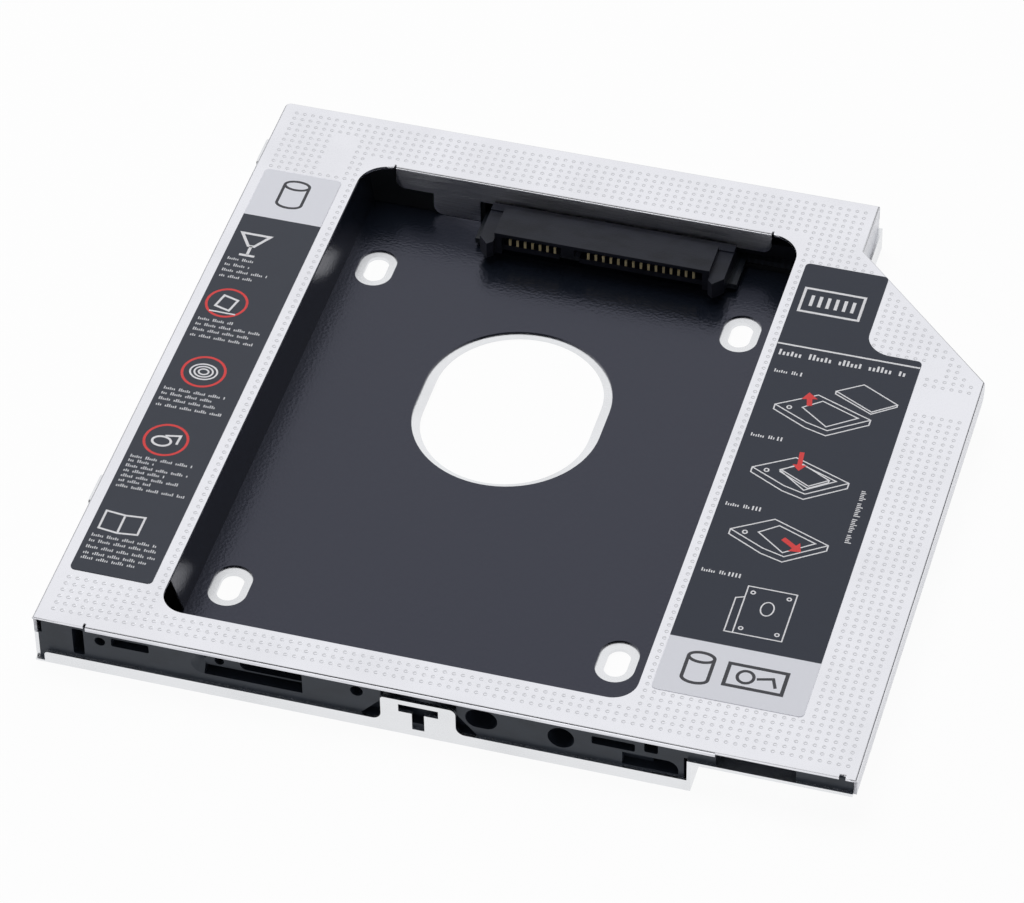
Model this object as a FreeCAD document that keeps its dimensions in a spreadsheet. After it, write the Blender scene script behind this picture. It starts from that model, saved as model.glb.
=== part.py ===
# A slim caddy that holds a 2.5 inch drive in a 9.5 mm optical drive bay, lying flat.
# X runs across the bay, Y from the front face to the rear wall, Z up from the underside.
# Each piece is drawn with Y = 0 on the front face, and its Placement brings the middle to the origin.
import FreeCAD, Part
import Sketcher
import math
import os

doc = FreeCAD.newDocument("DriveCaddy")
sizes = doc.addObject("Spreadsheet::Sheet", "Sizes")


class Size:
    """A length that keeps the sheet expression it comes from beside its value."""

    def __init__(self, value, text):
        self.value = float(value)
        self.text = text

    def __add__(self, other):
        other = size(other)
        return Size(self.value + other.value, f"({self.text} + {other.text})")

    def __radd__(self, other):
        return size(other) + self

    def __sub__(self, other):
        other = size(other)
        return Size(self.value - other.value, f"({self.text} - {other.text})")

    def __rsub__(self, other):
        return size(other) - self

    def __mul__(self, factor):
        return Size(self.value * factor, f"({self.text} * {factor})")

    __rmul__ = __mul__

    def __truediv__(self, divisor):
        return Size(self.value / divisor, f"({self.text} / {divisor})")

    def __neg__(self):
        return Size(-self.value, f"(0 mm - {self.text})")


def size(value):
    """Turn a bare number into a Size, and leave a Size as it is."""
    return value if isinstance(value, Size) else Size(value, f"({value} mm)")


def drive(item, prop, length):
    """Bind one property of a document object to the sheet."""
    item.setExpression(prop, size(length).text)


# Driving dimensions in millimetres. Places across the bay are measured from the left side face,
# those that end in right from the right one, margins from the rear wall, drops from the cover and
# other heights from the underside.
DRIVING_SIZES = {
    # outside
    "case_width": 128.0,
    "case_depth": 126.1,
    "case_height": 9.5,
    "cover_sheet": 0.5,
    "tray_sheet": 0.6,
    "film_sheet": 0.3,
    "label_sheet": 0.1,
    "bend_radius": 0.4,
    "small_gap": 0.1,
    # tray steps up to a thin wing on the right
    "tray_width": 102.7,
    "wing_height": 5.9,
    "notch_depth": 11.7,
    "side_wall_height": 5.8,
    "rear_wall_height": 6.9,
    "side_flange_height": 3.5,
    "wing_flange_height": 3.4,
    "notch_flange_height": 4.8,
    "notch_wall_height": 4.6,
    "rear_corner_radius": 1.0,
    "wing_corner_radius": 1.6,
    # spring ears on the left wall
    "ear_proud": 0.4,
    "ear_length": 6.9,
    "ear_foot": 4.4,
    "ear_top": 8.9,
    "ear_corner_radius": 1.2,
    "front_ear_place": 26.5,
    "rear_ear_margin": 15.7,
    # front edge of the cover
    "cover_lip_left": 8.5,
    "cover_lip_right": 21.3,
    "cover_lip_height": 0.8,
    "lip_relief_width": 0.4,
    "lip_relief_depth": 0.9,
    "edge_notch_right": 1.7,
    "edge_notch_width": 1.0,
    "edge_notch_depth": 0.9,
    "plain_edge_setback": 0.2,
    # window over the drive
    "window_left": 17.55,
    "window_width": 74.35,
    "window_front": 6.85,
    "window_rear_margin": 11.5,
    "window_front_radius": 4.0,
    "window_rear_radius": 5.0,
    # flange folded down at the rear of the window
    "stop_flange_left": 22.7,
    "stop_flange_width": 63.9,
    "stop_flange_height": 4.2,
    "stop_flange_radius": 1.5,
    "stop_tab_left": 29.1,
    "stop_tab_width": 8.0,
    "stop_tab_radius": 1.6,
    "stop_relief_width": 0.4,
    "stop_relief_depth": 0.7,
    # drive fixing holes in the floor
    "bay_axis_place": 54.65,
    "fixing_width": 61.72,
    "fixing_length": 76.6,
    "fixing_rear_margin": 27.15,
    "fixing_slot_width": 3.6,
    "fixing_slot_length": 6.0,
    "film_slot_width": 6.15,
    "film_slot_length": 8.9,
    "hub_rear_margin": 53.8,
    "hub_width": 27.4,
    "hub_length": 34.8,
    "film_hub_width": 30.5,
    "film_hub_length": 36.4,
    # folded left flap of the film
    "flap_foot_place": 18.6,
    "flap_lean": 1.0,
    "flap_front": 13.5,
    "flap_front_slant": 2.1,
    # tray lip and slotted tab at the front
    "tray_lip_left": 1.5,
    "tray_lip_height": 2.4,
    "tab_left": 54.9,
    "tab_width": 11.7,
    "tab_height": 7.3,
    "tab_corner_radius": 1.0,
    "tab_foot_radius": 1.4,
    "tee_bar_left": 57.7,
    "tee_bar_width": 6.2,
    "tee_bar_foot": 4.9,
    "tee_bar_height": 1.5,
    "tee_stem_left": 59.8,
    "tee_stem_width": 1.9,
    "tee_stem_foot": 1.6,
    # front moulding
    "moulding_depth": 5.4,
    "moulding_end_step": 0.6,
    "moulding_step_height": 6.0,
    "hole_depth": 4.2,
    "recess_depth": 1.6,
    "slot_radius": 0.3,
    "latch_slot_left": 6.1,
    "latch_slot_width": 1.8,
    "latch_slot_foot": 2.8,
    "latch_slot_height": 5.3,
    "pin_hole_place": 10.5,
    "pin_hole_drop": 2.5,
    "pin_hole_width": 1.7,
    "left_slot_left": 12.3,
    "left_slot_width": 6.0,
    "left_slot_drop": 1.35,
    "left_slot_height": 1.65,
    "scoop_left": 24.9,
    "scoop_width": 17.6,
    "scoop_foot": 4.0,
    "scoop_height": 4.1,
    "scoop_depth": 1.0,
    "scoop_sill": 1.15,
    "scoop_end_width": 2.1,
    "scoop_bar": 0.3,
    "scoop_slot_left": 32.4,
    "scoop_slot_height": 1.45,
    "scoop_slot_radius": 1.1,
    "lens_hole_place": 29.15,
    "lens_hole_width": 1.5,
    "lens_hole_drop": 2.65,
    "screw_eye_place": 51.05,
    "screw_eye_drop": 2.1,
    "screw_eye_width": 2.0,
    "facet_width": 3.2,
    "facet_height": 3.6,
    "oval_hole_left": 67.95,
    "oval_hole_width": 4.95,
    "oval_hole_foot": 4.15,
    "oval_hole_height": 3.7,
    "oval_hole_radius": 1.8,
    "round_hole_place": 82.7,
    "round_hole_rise": 5.5,
    "round_hole_width": 4.1,
    "right_slot_left": 87.4,
    "right_slot_width": 6.65,
    "right_slot_drop": 1.65,
    "right_slot_height": 1.6,
    "square_hole_left": 95.45,
    "square_hole_width": 2.1,
    "square_hole_drop": 0.75,
    "square_hole_height": 2.05,
    "corner_recess_left": 92.1,
    "corner_recess_width": 4.35,
    "corner_hole_width": 4.25,
    "corner_hole_foot": 2.65,
    "corner_hole_height": 2.5,
    "corner_hole_radius": 1.8,
    "wing_slot_right": 9.15,
    "wing_slot_width": 12.1,
    "wing_slot_foot": 6.5,
    # side strips beside the drive
    "rail_front": 16.2,
    "right_rail_left": 92.4,
    "rail_wall": 1.5,
    # rear moulding and circuit board
    "rear_bar_margin": 10.8,
    "board_left": 38.0,
    "board_end_margin": 1.6,
    "board_front_margin": 17.6,
    "board_rear_margin": 1.7,
    "board_sheet": 1.0,
    "board_rise": 1.6,
    "board_side_gap": 0.2,
    "board_neck_width": 44.4,
    "board_screw_place": 42.6,
    "board_screw_pitch": 30.0,
    "board_screw_margin": 4.6,
    # socket for the drive
    "socket_left": 42.1,
    "socket_width": 36.3,
    "socket_front_margin": 20.2,
    "socket_length": 6.6,
    "socket_top": 6.8,
    "socket_roof": 0.7,
    "socket_cavity_foot": 3.6,
    "socket_cavity_depth": 5.0,
    "socket_sill_setback": 1.1,
    "socket_shelf_length": 1.8,
    "socket_shelf_top": 5.9,
    "signal_cavity_inset": 1.2,
    "signal_cavity_width": 10.1,
    "key_wall": 2.2,
    "key_gap_width": 3.4,
    "key_gap_top": 4.4,
    "arm_width": 2.5,
    "arm_top": 5.7,
    "arm_reach": 1.7,
    "arm_nose": 0.9,
    # contacts
    "contact_pitch": 1.27,
    "contact_width": 0.4,
    "contact_sheet": 0.25,
    "contact_rise": 5.2,
    "signal_contact_inset": 2.3,
    "power_contact_inset": 15.6,
    "contact_nose": 0.5,
    "contact_tip_drop": 1.0,
    "contact_heel": 0.5,
    "contact_foot": 0.8,
    "tail_room_wall": 0.35,
    "peg_radius": 0.5,
    "peg_rise": 1.2,
    # plug toward the host at the rear right
    "plug_left": 76.4,
    "plug_width": 23.2,
    "plug_length": 8.0,
    "plug_top": 6.2,
    "plug_wall": 0.6,
    "plug_cavity_depth": 5.5,
    "plug_shelf_length": 1.4,
    "plug_shelf_top": 5.4,
    "tongue_foot": 3.7,
    "tongue_sheet": 1.0,
    "signal_tongue_inset": 1.6,
    "signal_tongue_width": 9.4,
    "power_tongue_inset": 12.9,
    "power_tongue_width": 7.8,
    "host_power_pitch": 1.0,
    "host_opening_gap": 0.3,
    # screws and small parts
    "screw_radius": 0.9,
    "screw_clearance": 0.1,
    "screw_length": 4.0,
    "screw_head_radius": 1.5,
    "sink_depth": 0.55,
    "board_screw_head": 0.9,
    "front_screw_margin": 3.3,
    "first_front_screw": 21.6,
    "second_front_screw": 77.1,
    "rear_screw_margin": 5.7,
    "first_rear_screw": 11.6,
    "second_rear_screw": 31.6,
    "capacitor_width": 2.0,
    "capacitor_length": 1.25,
    "capacitor_height": 1.2,
    "capacitor_left": 50.6,
    "capacitor_pitch": 4.0,
    "capacitor_margin": 6.0,
    # threaded holes for the bay's bracket
    "bracket_hole_radius": 0.8,
    "bracket_hole_rise": 3.4,
    "first_bracket_hole": 4.0,
    "second_bracket_hole": 24.0,
    # stuck on labels
    "left_label_left": 2.0,
    "left_label_width": 13.2,
    "left_label_front": 11.4,
    "left_label_rear_margin": 17.4,
    "right_label_left": 93.8,
    "right_label_width": 23.3,
    "right_label_neck": 13.7,
    "right_label_front": 10.4,
    "right_label_shoulder_margin": 35.3,
    "right_label_rear_margin": 17.0,
    "label_shoulder_radius": 4.3,
    "label_corner_radius": 0.8,
}
CONTACT_COUNTS = {"drive_signal": 7, "drive_power": 15, "host_signal": 7, "host_power": 6}
CAPACITOR_COUNT = 4
BOARD_SCREW_COUNT = 2
RAIL_CELL_COUNT = 4
SCOOP_TAPER = -60  # degrees: the end of the finger scoop narrows like a dish as it goes in


class SheetSizes:
    """Every driving dimension as a Size, under its own name."""


def fill_sheet():
    """Write the driving dimensions into the sheet and give each cell its alias."""
    named = SheetSizes()
    for row, (alias, value) in enumerate(DRIVING_SIZES.items(), start=1):
        sizes.set(f"A{row}", str(value))
        sizes.setAlias(f"A{row}", alias)
        setattr(named, alias, Size(value, f"(Sizes.{alias} * 1 mm)"))
    doc.recompute()
    return named


s = fill_sheet()

# Planes that several pieces share.
left_face = s.ear_proud - s.case_width / 2
right_face = s.case_width / 2
step_face = left_face + s.tray_width
notch_face = step_face - s.tray_sheet
wall_inside = left_face + s.tray_sheet
inner_right = notch_face - s.cover_sheet - s.small_gap
cover_top = s.case_height - s.label_sheet
cover_under = cover_top - s.cover_sheet
notch_rear = s.case_depth - s.notch_depth
wing_rear = notch_rear - (right_face - notch_face)
window_rear = s.case_depth - s.window_rear_margin
rear_bar_front = s.case_depth - s.rear_bar_margin
inner_rear = s.case_depth - s.tray_sheet - s.small_gap
board_foot = s.board_rise
board_top = s.board_rise + s.board_sheet
film_top = s.tray_sheet + s.film_sheet
bay_axis = left_face + s.bay_axis_place
fixing_rear = s.case_depth - s.fixing_rear_margin


def across(place):
    """A place across the bay, given from the left side face."""
    return left_face + place


def new_body(name):
    """An empty piece whose Placement centres the caddy on the origin."""
    body = doc.addObject("PartDesign::Body", name)
    body.Label = name
    body.AllowCompound = True
    drive(body, "Placement.Base.y", -s.case_depth / 2)
    return body


def new_sketch(body, role, level=0):
    """A sketch on one of the body's own origin planes, moved along that plane's normal."""
    sketch = body.newObject("Sketcher::SketchObject", body.Name + "_sketch")
    plane = next(item for item in body.Origin.OriginFeatures if item.Role == role)
    sketch.AttachmentSupport = (plane, "")
    sketch.MapMode = "FlatFace"
    drive(sketch, "AttachmentOffset.Base.z", level)
    return sketch


def plan(body, height):
    """A sketch seen from above, at a height."""
    return new_sketch(body, "XY_Plane", height)


def elevation(body, depth):
    """A sketch seen from the front, at a distance behind the front face."""
    return new_sketch(body, "XZ_Plane", -size(depth))


def profile(body, place):
    """A sketch seen from the right, at a place across the bay."""
    return new_sketch(body, "YZ_Plane", place)


def fix_point(sketch, item, end, place):
    """Fix a point of the sketch at a driven distance from its origin."""
    for kind, length in zip(("DistanceX", "DistanceY"), place):
        number = sketch.addConstraint(Sketcher.Constraint(kind, -1, 1, item, end, length.value))
        sketch.setExpression(f"Constraints[{number}]", length.text)


def fix_radius(sketch, item, radius):
    """Drive the radius of an arc or circle."""
    number = sketch.addConstraint(Sketcher.Constraint("Radius", item, radius.value))
    sketch.setExpression(f"Constraints[{number}]", radius.text)


def circle(sketch, centre, radius):
    """Draw a circle with a driven centre and radius."""
    centre = [size(value) for value in centre]
    middle = FreeCAD.Vector(centre[0].value, centre[1].value, 0)
    item = sketch.addGeometry(Part.Circle(middle, FreeCAD.Vector(0, 0, 1), size(radius).value))
    fix_point(sketch, item, 3, centre)
    fix_radius(sketch, item, size(radius))


def stadium(sketch, centre, width, length):
    """Draw a slot with round ends whose length runs along the sketch's second axis."""
    centre = [size(value) for value in centre]
    radius = size(width) / 2
    reach = (size(length) - width) / 2
    arcs = []
    for sign, start in ((1, 0.0), (-1, math.pi)):
        middle = FreeCAD.Vector(centre[0].value, centre[1].value + sign * reach.value, 0)
        ring = Part.Circle(middle, FreeCAD.Vector(0, 0, 1), radius.value)
        arcs.append(sketch.addGeometry(Part.ArcOfCircle(ring, start, start + math.pi)))
        fix_point(sketch, arcs[-1], 3, (centre[0], centre[1] + reach * sign))
    fix_radius(sketch, arcs[0], radius)
    sketch.addConstraint(Sketcher.Constraint("Equal", arcs[0], arcs[1]))
    for first, second in ((arcs[0], arcs[1]), (arcs[1], arcs[0])):
        ends = [sketch.Geometry[first].EndPoint, sketch.Geometry[second].StartPoint]
        side = sketch.addGeometry(Part.LineSegment(*ends))
        sketch.addConstraint(Sketcher.Constraint("Tangent", first, 2, side, 1))
        sketch.addConstraint(Sketcher.Constraint("Tangent", side, 2, second, 1))


def outline(sketch, corners):
    """Draw a closed outline through corners, each a place or a place with a corner radius."""
    places = [[size(value) for value in corner[:2]] for corner in corners]
    radii = [size(corner[2]) if len(corner) > 2 else None for corner in corners]
    points = [FreeCAD.Vector(place[0].value, place[1].value, 0) for place in places]
    count = len(points)
    before = []
    after = []
    for index, point in enumerate(points):
        back = (points[index - 1] - point).normalize()
        ahead = (points[(index + 1) % count] - point).normalize()
        half_turn = back.getAngle(ahead) / 2
        cut = radii[index].value / math.tan(half_turn) if radii[index] else 0.0
        before.append(point + back * cut)
        after.append(point + ahead * cut)
    lines = []
    for index in range(count):
        ends = [after[index], before[(index + 1) % count]]
        lines.append(sketch.addGeometry(Part.LineSegment(*ends)))
    for index, point in enumerate(points):
        incoming = lines[index - 1]
        outgoing = lines[index]
        if radii[index] is None:
            sketch.addConstraint(Sketcher.Constraint("Coincident", incoming, 2, outgoing, 1))
            fix_point(sketch, outgoing, 1, places[index])
            continue
        round_corner(sketch, incoming, outgoing, point, before[index], after[index],
                     places[index], radii[index])


def round_corner(sketch, incoming, outgoing, point, start, finish, place, radius):
    """Join two sides of an outline by a tangent arc about their driven corner."""
    inward = ((start - point).normalize() + (finish - point).normalize()).normalize()
    reach = math.hypot((start - point).Length, radius.value)
    middle = point + inward * reach
    ring = Part.Circle(middle, FreeCAD.Vector(0, 0, 1), radius.value)
    left_turn = (point - start).cross(finish - point).z > 0
    ends = (start, finish) if left_turn else (finish, start)
    angles = [math.atan2(end.y - middle.y, end.x - middle.x) for end in ends]
    if angles[1] < angles[0]:
        angles[1] += 2 * math.pi
    arc = sketch.addGeometry(Part.ArcOfCircle(ring, *angles))
    corner = sketch.addGeometry(Part.Point(point), True)
    first_end, last_end = (1, 2) if left_turn else (2, 1)
    sketch.addConstraint(Sketcher.Constraint("Tangent", incoming, 2, arc, first_end))
    sketch.addConstraint(Sketcher.Constraint("Tangent", arc, last_end, outgoing, 1))
    sketch.addConstraint(Sketcher.Constraint("PointOnObject", corner, 1, incoming))
    sketch.addConstraint(Sketcher.Constraint("PointOnObject", corner, 1, outgoing))
    fix_point(sketch, corner, 1, place)
    fix_radius(sketch, arc, radius)


def rectangle(sketch, left, foot, width, height, radius=None):
    """Draw a rectangle from its lowest corner, its corners rounded if a radius is given."""
    left, foot, width, height = (size(value) for value in (left, foot, width, height))
    right, top = left + width, foot + height
    corners = [(left, foot), (right, foot), (right, top), (left, top)]
    if radius is not None:
        corners = [corner + (radius,) for corner in corners]
    outline(sketch, corners)


def add(body, sketch, thickness, backward=False):
    """Pad a sketch along its plane's normal, or against it."""
    feature = body.newObject("PartDesign::Pad", body.Name + "_pad")
    feature.Profile = sketch
    feature.Reversed = backward
    drive(feature, "Length", thickness)
    body.Tip = feature
    return feature


def cut(body, sketch, depth, along=False):
    """Cut a sketch into the body against its plane's normal, or along it."""
    feature = body.newObject("PartDesign::Pocket", body.Name + "_cut")
    feature.Profile = sketch
    feature.Reversed = along
    drive(feature, "Length", depth)
    body.Tip = feature
    return feature


def repeat(body, feature, axis, count, pitch):
    """Repeat a feature in a row along one of the body's own axes."""
    pattern = body.newObject("PartDesign::LinearPattern", body.Name + "_row")
    pattern.Originals = [feature]
    line = next(item for item in body.Origin.OriginFeatures if item.Role == axis)
    pattern.Direction = (line, [""])
    pattern.Occurrences = count
    drive(pattern, "Length", size(pitch) * (count - 1))
    body.Tip = pattern
    return pattern


def edges_where(body, test):
    """Names of the edges of a body whose every corner passes a test."""
    doc.recompute()
    found = []
    for number, edge in enumerate(body.Tip.Shape.Edges, start=1):
        if all(test(vertex.Point) for vertex in edge.Vertexes):
            found.append(f"Edge{number}")
    return found


def same(first, second):
    """Whether a coordinate lies on a driven plane."""
    return abs(first - size(second).value) < 1e-4


def soften(body, kind, length_name, length, test):
    """Round or bevel the edges that pass a test."""
    names = edges_where(body, test)
    base = body.Tip
    feature = body.newObject(f"PartDesign::{kind}", f"{body.Name}_{kind.lower()}")
    feature.Base = (base, names)
    drive(feature, length_name, length)
    body.Tip = feature


def build_top_cover():
    """Folded aluminium cover: plate, window, side flanges, front lip and the stop flange."""
    body = new_body("top_cover")
    plate = plan(body, cover_under)
    outline(plate, [
        (left_face, 0),
        (right_face, 0),
        (right_face, wing_rear),
        (notch_face, notch_rear),
        (notch_face, s.case_depth),
        (left_face, s.case_depth, s.rear_corner_radius),
    ])
    add(body, plate, s.cover_sheet)

    window = plan(body, cover_top)
    window_right = across(s.window_left + s.window_width)
    outline(window, [
        (across(s.window_left), s.window_front, s.window_front_radius),
        (window_right, s.window_front, s.window_front_radius),
        (window_right, window_rear, s.window_rear_radius),
        (across(s.window_left), window_rear, s.window_rear_radius),
    ])
    cut(body, window, s.cover_sheet)

    side = profile(body, left_face)
    rectangle(side, s.tray_sheet, cover_top - s.side_flange_height,
              s.case_depth - s.tray_sheet - s.rear_corner_radius, s.side_flange_height)
    add(body, side, s.cover_sheet)

    wing = profile(body, right_face)
    wing_foot = cover_top - s.wing_flange_height
    outline(wing, [
        (s.tray_sheet, wing_foot),
        (wing_rear, wing_foot, s.wing_corner_radius),
        (wing_rear, cover_top),
        (s.tray_sheet, cover_top),
    ])
    add(body, wing, s.cover_sheet, backward=True)

    notch = profile(body, notch_face)
    rectangle(notch, notch_rear, cover_top - s.notch_flange_height,
              s.notch_depth - s.tray_sheet, s.notch_flange_height)
    add(body, notch, s.cover_sheet, backward=True)

    lip = elevation(body, 0)
    lip_left = across(s.cover_lip_left)
    lip_right = right_face - s.cover_lip_right
    rectangle(lip, lip_left, cover_top - s.cover_lip_height, lip_right - lip_left,
              s.cover_lip_height)
    add(body, lip, s.cover_sheet, backward=True)

    rear = elevation(body, s.case_depth)
    rear_foot = s.rear_wall_height + s.small_gap
    rectangle(rear, left_face + s.rear_corner_radius, rear_foot,
              notch_face - left_face - s.rear_corner_radius, cover_top - rear_foot)
    add(body, rear, s.cover_sheet)

    stop = elevation(body, window_rear)
    stop_left = across(s.stop_flange_left)
    stop_right = stop_left + s.stop_flange_width
    stop_foot = cover_top - s.stop_flange_height
    tab_left = across(s.stop_tab_left)
    tab_right = tab_left + s.stop_tab_width
    tab_foot = film_top + s.small_gap
    outline(stop, [
        (stop_left, cover_top),
        (stop_left, stop_foot, s.stop_flange_radius),
        (tab_left, stop_foot),
        (tab_left, tab_foot, s.stop_tab_radius),
        (tab_right, tab_foot),
        (tab_right, stop_foot),
        (stop_right, stop_foot, s.stop_flange_radius),
        (stop_right, cover_top),
    ])
    add(body, stop, s.cover_sheet, backward=True)

    reliefs = plan(body, cover_top)
    relief_left = lip_left - s.lip_relief_width
    stop_relief_front = window_rear - s.small_gap
    for stop_relief_left in (stop_left - s.stop_relief_width, stop_right):
        rectangle(reliefs, stop_relief_left, stop_relief_front, s.stop_relief_width,
                  s.stop_relief_depth + s.small_gap)
    notch_left = right_face - s.edge_notch_right - s.edge_notch_width
    rectangle(reliefs, relief_left, 0, s.lip_relief_width, s.lip_relief_depth)
    rectangle(reliefs, notch_left, 0, s.edge_notch_width, s.edge_notch_depth)
    cut(body, reliefs, s.cover_sheet)

    setback = plan(body, cover_top)
    rectangle(setback, left_face, 0, relief_left - left_face, s.plain_edge_setback)
    rectangle(setback, lip_right, 0, right_face - lip_right, s.plain_edge_setback)
    cut(body, setback, s.cover_sheet)

    def bend(point):
        folded = same(point.x, left_face) or same(point.x, right_face) or same(point.x, notch_face)
        turned = same(point.y, s.case_depth)
        return same(point.z, cover_top) and (folded or turned)

    def front_bend(point):
        return same(point.z, cover_top) and same(point.y, 0)

    def stop_bend(point):
        return same(point.z, cover_top) and same(point.y, window_rear)

    soften(body, "Fillet", "Radius", s.bend_radius, bend)
    soften(body, "Fillet", "Radius", s.bend_radius, front_bend)
    soften(body, "Fillet", "Radius", s.bend_radius, stop_bend)
    return body


def fixing_places():
    """Centres of the four drive fixing holes."""
    for side in (-1, 1):
        for row in (0, 1):
            yield bay_axis + s.fixing_width * (side / 2), fixing_rear - s.fixing_length * row


def frame_screw_places():
    """Centres of the countersunk screws under the two mouldings."""
    for place in (s.first_front_screw, s.second_front_screw):
        yield across(place), s.front_screw_margin
    for place in (s.first_rear_screw, s.second_rear_screw):
        yield across(place), s.case_depth - s.rear_screw_margin


def sink_screw(body, centre):
    """Open a screw hole of the floor into a cone for the screw's flat head."""
    cone = body.newObject("PartDesign::SubtractiveCone", body.Name + "_sink")
    floor = next(item for item in body.Origin.OriginFeatures if item.Role == "XY_Plane")
    cone.AttachmentSupport = (floor, "")
    cone.MapMode = "FlatFace"
    rim = s.screw_radius + s.screw_clearance
    drive(cone, "AttachmentOffset.Base.x", centre[0])
    drive(cone, "AttachmentOffset.Base.y", centre[1])
    drive(cone, "Radius1", rim + s.sink_depth)
    drive(cone, "Radius2", rim)
    drive(cone, "Height", s.sink_depth)
    body.Tip = cone


def build_bottom_shell():
    """Folded tray: floor, walls, raised wing, spring ears and the slotted front tab."""
    body = new_body("bottom_shell")
    floor = plan(body, 0)
    rectangle(floor, left_face, 0, s.tray_width, s.case_depth)
    add(body, floor, s.tray_sheet)

    wing = plan(body, s.wing_height)
    wing_face = right_face - s.cover_sheet
    outline(wing, [
        (notch_face, 0),
        (wing_face, 0),
        (wing_face, wing_rear + s.cover_sheet),
        (notch_face, notch_rear),
    ])
    add(body, wing, s.tray_sheet)

    step = profile(body, step_face)
    wing_top = s.wing_height + s.tray_sheet
    outline(step, [
        (0, 0),
        (s.case_depth, 0),
        (s.case_depth, s.notch_wall_height),
        (notch_rear, s.notch_wall_height),
        (notch_rear, wing_top),
        (0, wing_top),
    ])
    add(body, step, s.tray_sheet, backward=True)

    side = profile(body, left_face)
    rectangle(side, s.tray_sheet, 0, s.case_depth - s.tray_sheet, s.side_wall_height)
    add(body, side, s.tray_sheet)

    ears = profile(body, left_face - s.ear_proud)
    for start in (s.front_ear_place, s.case_depth - s.rear_ear_margin):
        outline(ears, [
            (start, s.ear_foot),
            (start + s.ear_length, s.ear_foot),
            (start + s.ear_length, s.ear_top, s.ear_corner_radius),
            (start, s.ear_top, s.ear_corner_radius),
        ])
    add(body, ears, s.ear_proud)

    rear = elevation(body, s.case_depth)
    rectangle(rear, left_face, 0, notch_face - left_face, s.rear_wall_height)
    add(body, rear, s.tray_sheet)

    lip = elevation(body, 0)
    tab_left = across(s.tab_left)
    tab_right = tab_left + s.tab_width
    outline(lip, [
        (across(s.tray_lip_left), 0),
        (step_face, 0),
        (step_face, s.tray_lip_height),
        (tab_right, s.tray_lip_height, s.tab_foot_radius),
        (tab_right, s.tab_height, s.tab_corner_radius),
        (tab_left, s.tab_height, s.tab_corner_radius / 2),
        (tab_left, s.tray_lip_height, s.tab_foot_radius),
        (across(s.tray_lip_left), s.tray_lip_height, s.tray_sheet),
    ])
    add(body, lip, s.tray_sheet, backward=True)

    def bend(point):
        side_bend = same(point.x, left_face) or same(point.x, step_face)
        end_bend = same(point.y, s.case_depth) or same(point.y, 0)
        return same(point.z, 0) and (side_bend or end_bend)

    soften(body, "Fillet", "Radius", s.bend_radius, bend)

    openings = elevation(body, s.case_depth)
    gap = s.host_opening_gap
    rectangle(openings, across(s.plug_left) - gap, board_top - gap, s.plug_width + gap * 2,
              s.plug_top - board_top + gap * 2)
    for place in (s.first_bracket_hole, s.second_bracket_hole):
        circle(openings, (across(place), s.bracket_hole_rise), s.bracket_hole_radius)
    cut(body, openings, s.tray_sheet, along=True)

    tee = elevation(body, 0)
    bar_left = across(s.tee_bar_left)
    bar_right = bar_left + s.tee_bar_width
    bar_top = s.tee_bar_foot + s.tee_bar_height
    stem_left = across(s.tee_stem_left)
    stem_right = stem_left + s.tee_stem_width
    outline(tee, [
        (stem_left, s.tee_stem_foot),
        (stem_right, s.tee_stem_foot),
        (stem_right, s.tee_bar_foot),
        (bar_right, s.tee_bar_foot),
        (bar_right, bar_top),
        (bar_left, bar_top),
        (bar_left, s.tee_bar_foot),
        (stem_left, s.tee_bar_foot),
    ])
    cut(body, tee, s.tray_sheet)

    holes = plan(body, s.tray_sheet)
    stadium(holes, (bay_axis, s.case_depth - s.hub_rear_margin), s.hub_width, s.hub_length)
    for centre in fixing_places():
        stadium(holes, centre, s.fixing_slot_width, s.fixing_slot_length)
    for centre in frame_screw_places():
        circle(holes, centre, s.screw_radius + s.screw_clearance)
    cut(body, holes, s.tray_sheet)

    for centre in frame_screw_places():
        sink_screw(body, centre)
    return body


def build_insulating_film():
    """Black film on the floor, with a flap folded up along the left of the drive."""
    body = new_body("insulating_film")
    foot = across(s.flap_foot_place)
    floor = plan(body, s.tray_sheet)
    film_front = s.tray_sheet + s.moulding_depth + s.small_gap
    rectangle(floor, foot - s.film_sheet, film_front,
              across(s.right_rail_left) - s.small_gap - foot + s.film_sheet,
              rear_bar_front - s.small_gap - film_front)
    add(body, floor, s.film_sheet)

    flap = elevation(body, s.flap_front)
    outline(flap, flap_section(s.film_sheet, 0))
    add(body, flap, rear_bar_front - s.small_gap - s.flap_front, backward=True)

    slant = profile(body, foot + s.film_sheet)
    outline(slant, [
        (s.flap_front - s.film_sheet, film_top),
        (s.flap_front + s.flap_front_slant, film_top),
        (s.flap_front, cover_under),
        (s.flap_front - s.film_sheet, cover_under),
    ])
    cut(body, slant, s.flap_lean + s.film_sheet * 3)

    holes = plan(body, film_top)
    hub = (bay_axis, s.case_depth - s.hub_rear_margin)
    stadium(holes, hub, s.film_hub_width, s.film_hub_length)
    for centre in fixing_places():
        stadium(holes, centre, s.film_slot_width, s.film_slot_length)
    cut(body, holes, s.film_sheet)
    return body


def flap_section(near, far):
    """Section of the leaning flap between two distances behind its visible face."""
    foot = across(s.flap_foot_place)
    return [
        (foot - near, s.tray_sheet),
        (foot - far, s.tray_sheet),
        (foot - s.flap_lean - far, cover_under),
        (foot - s.flap_lean - near, cover_under),
    ]


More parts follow.
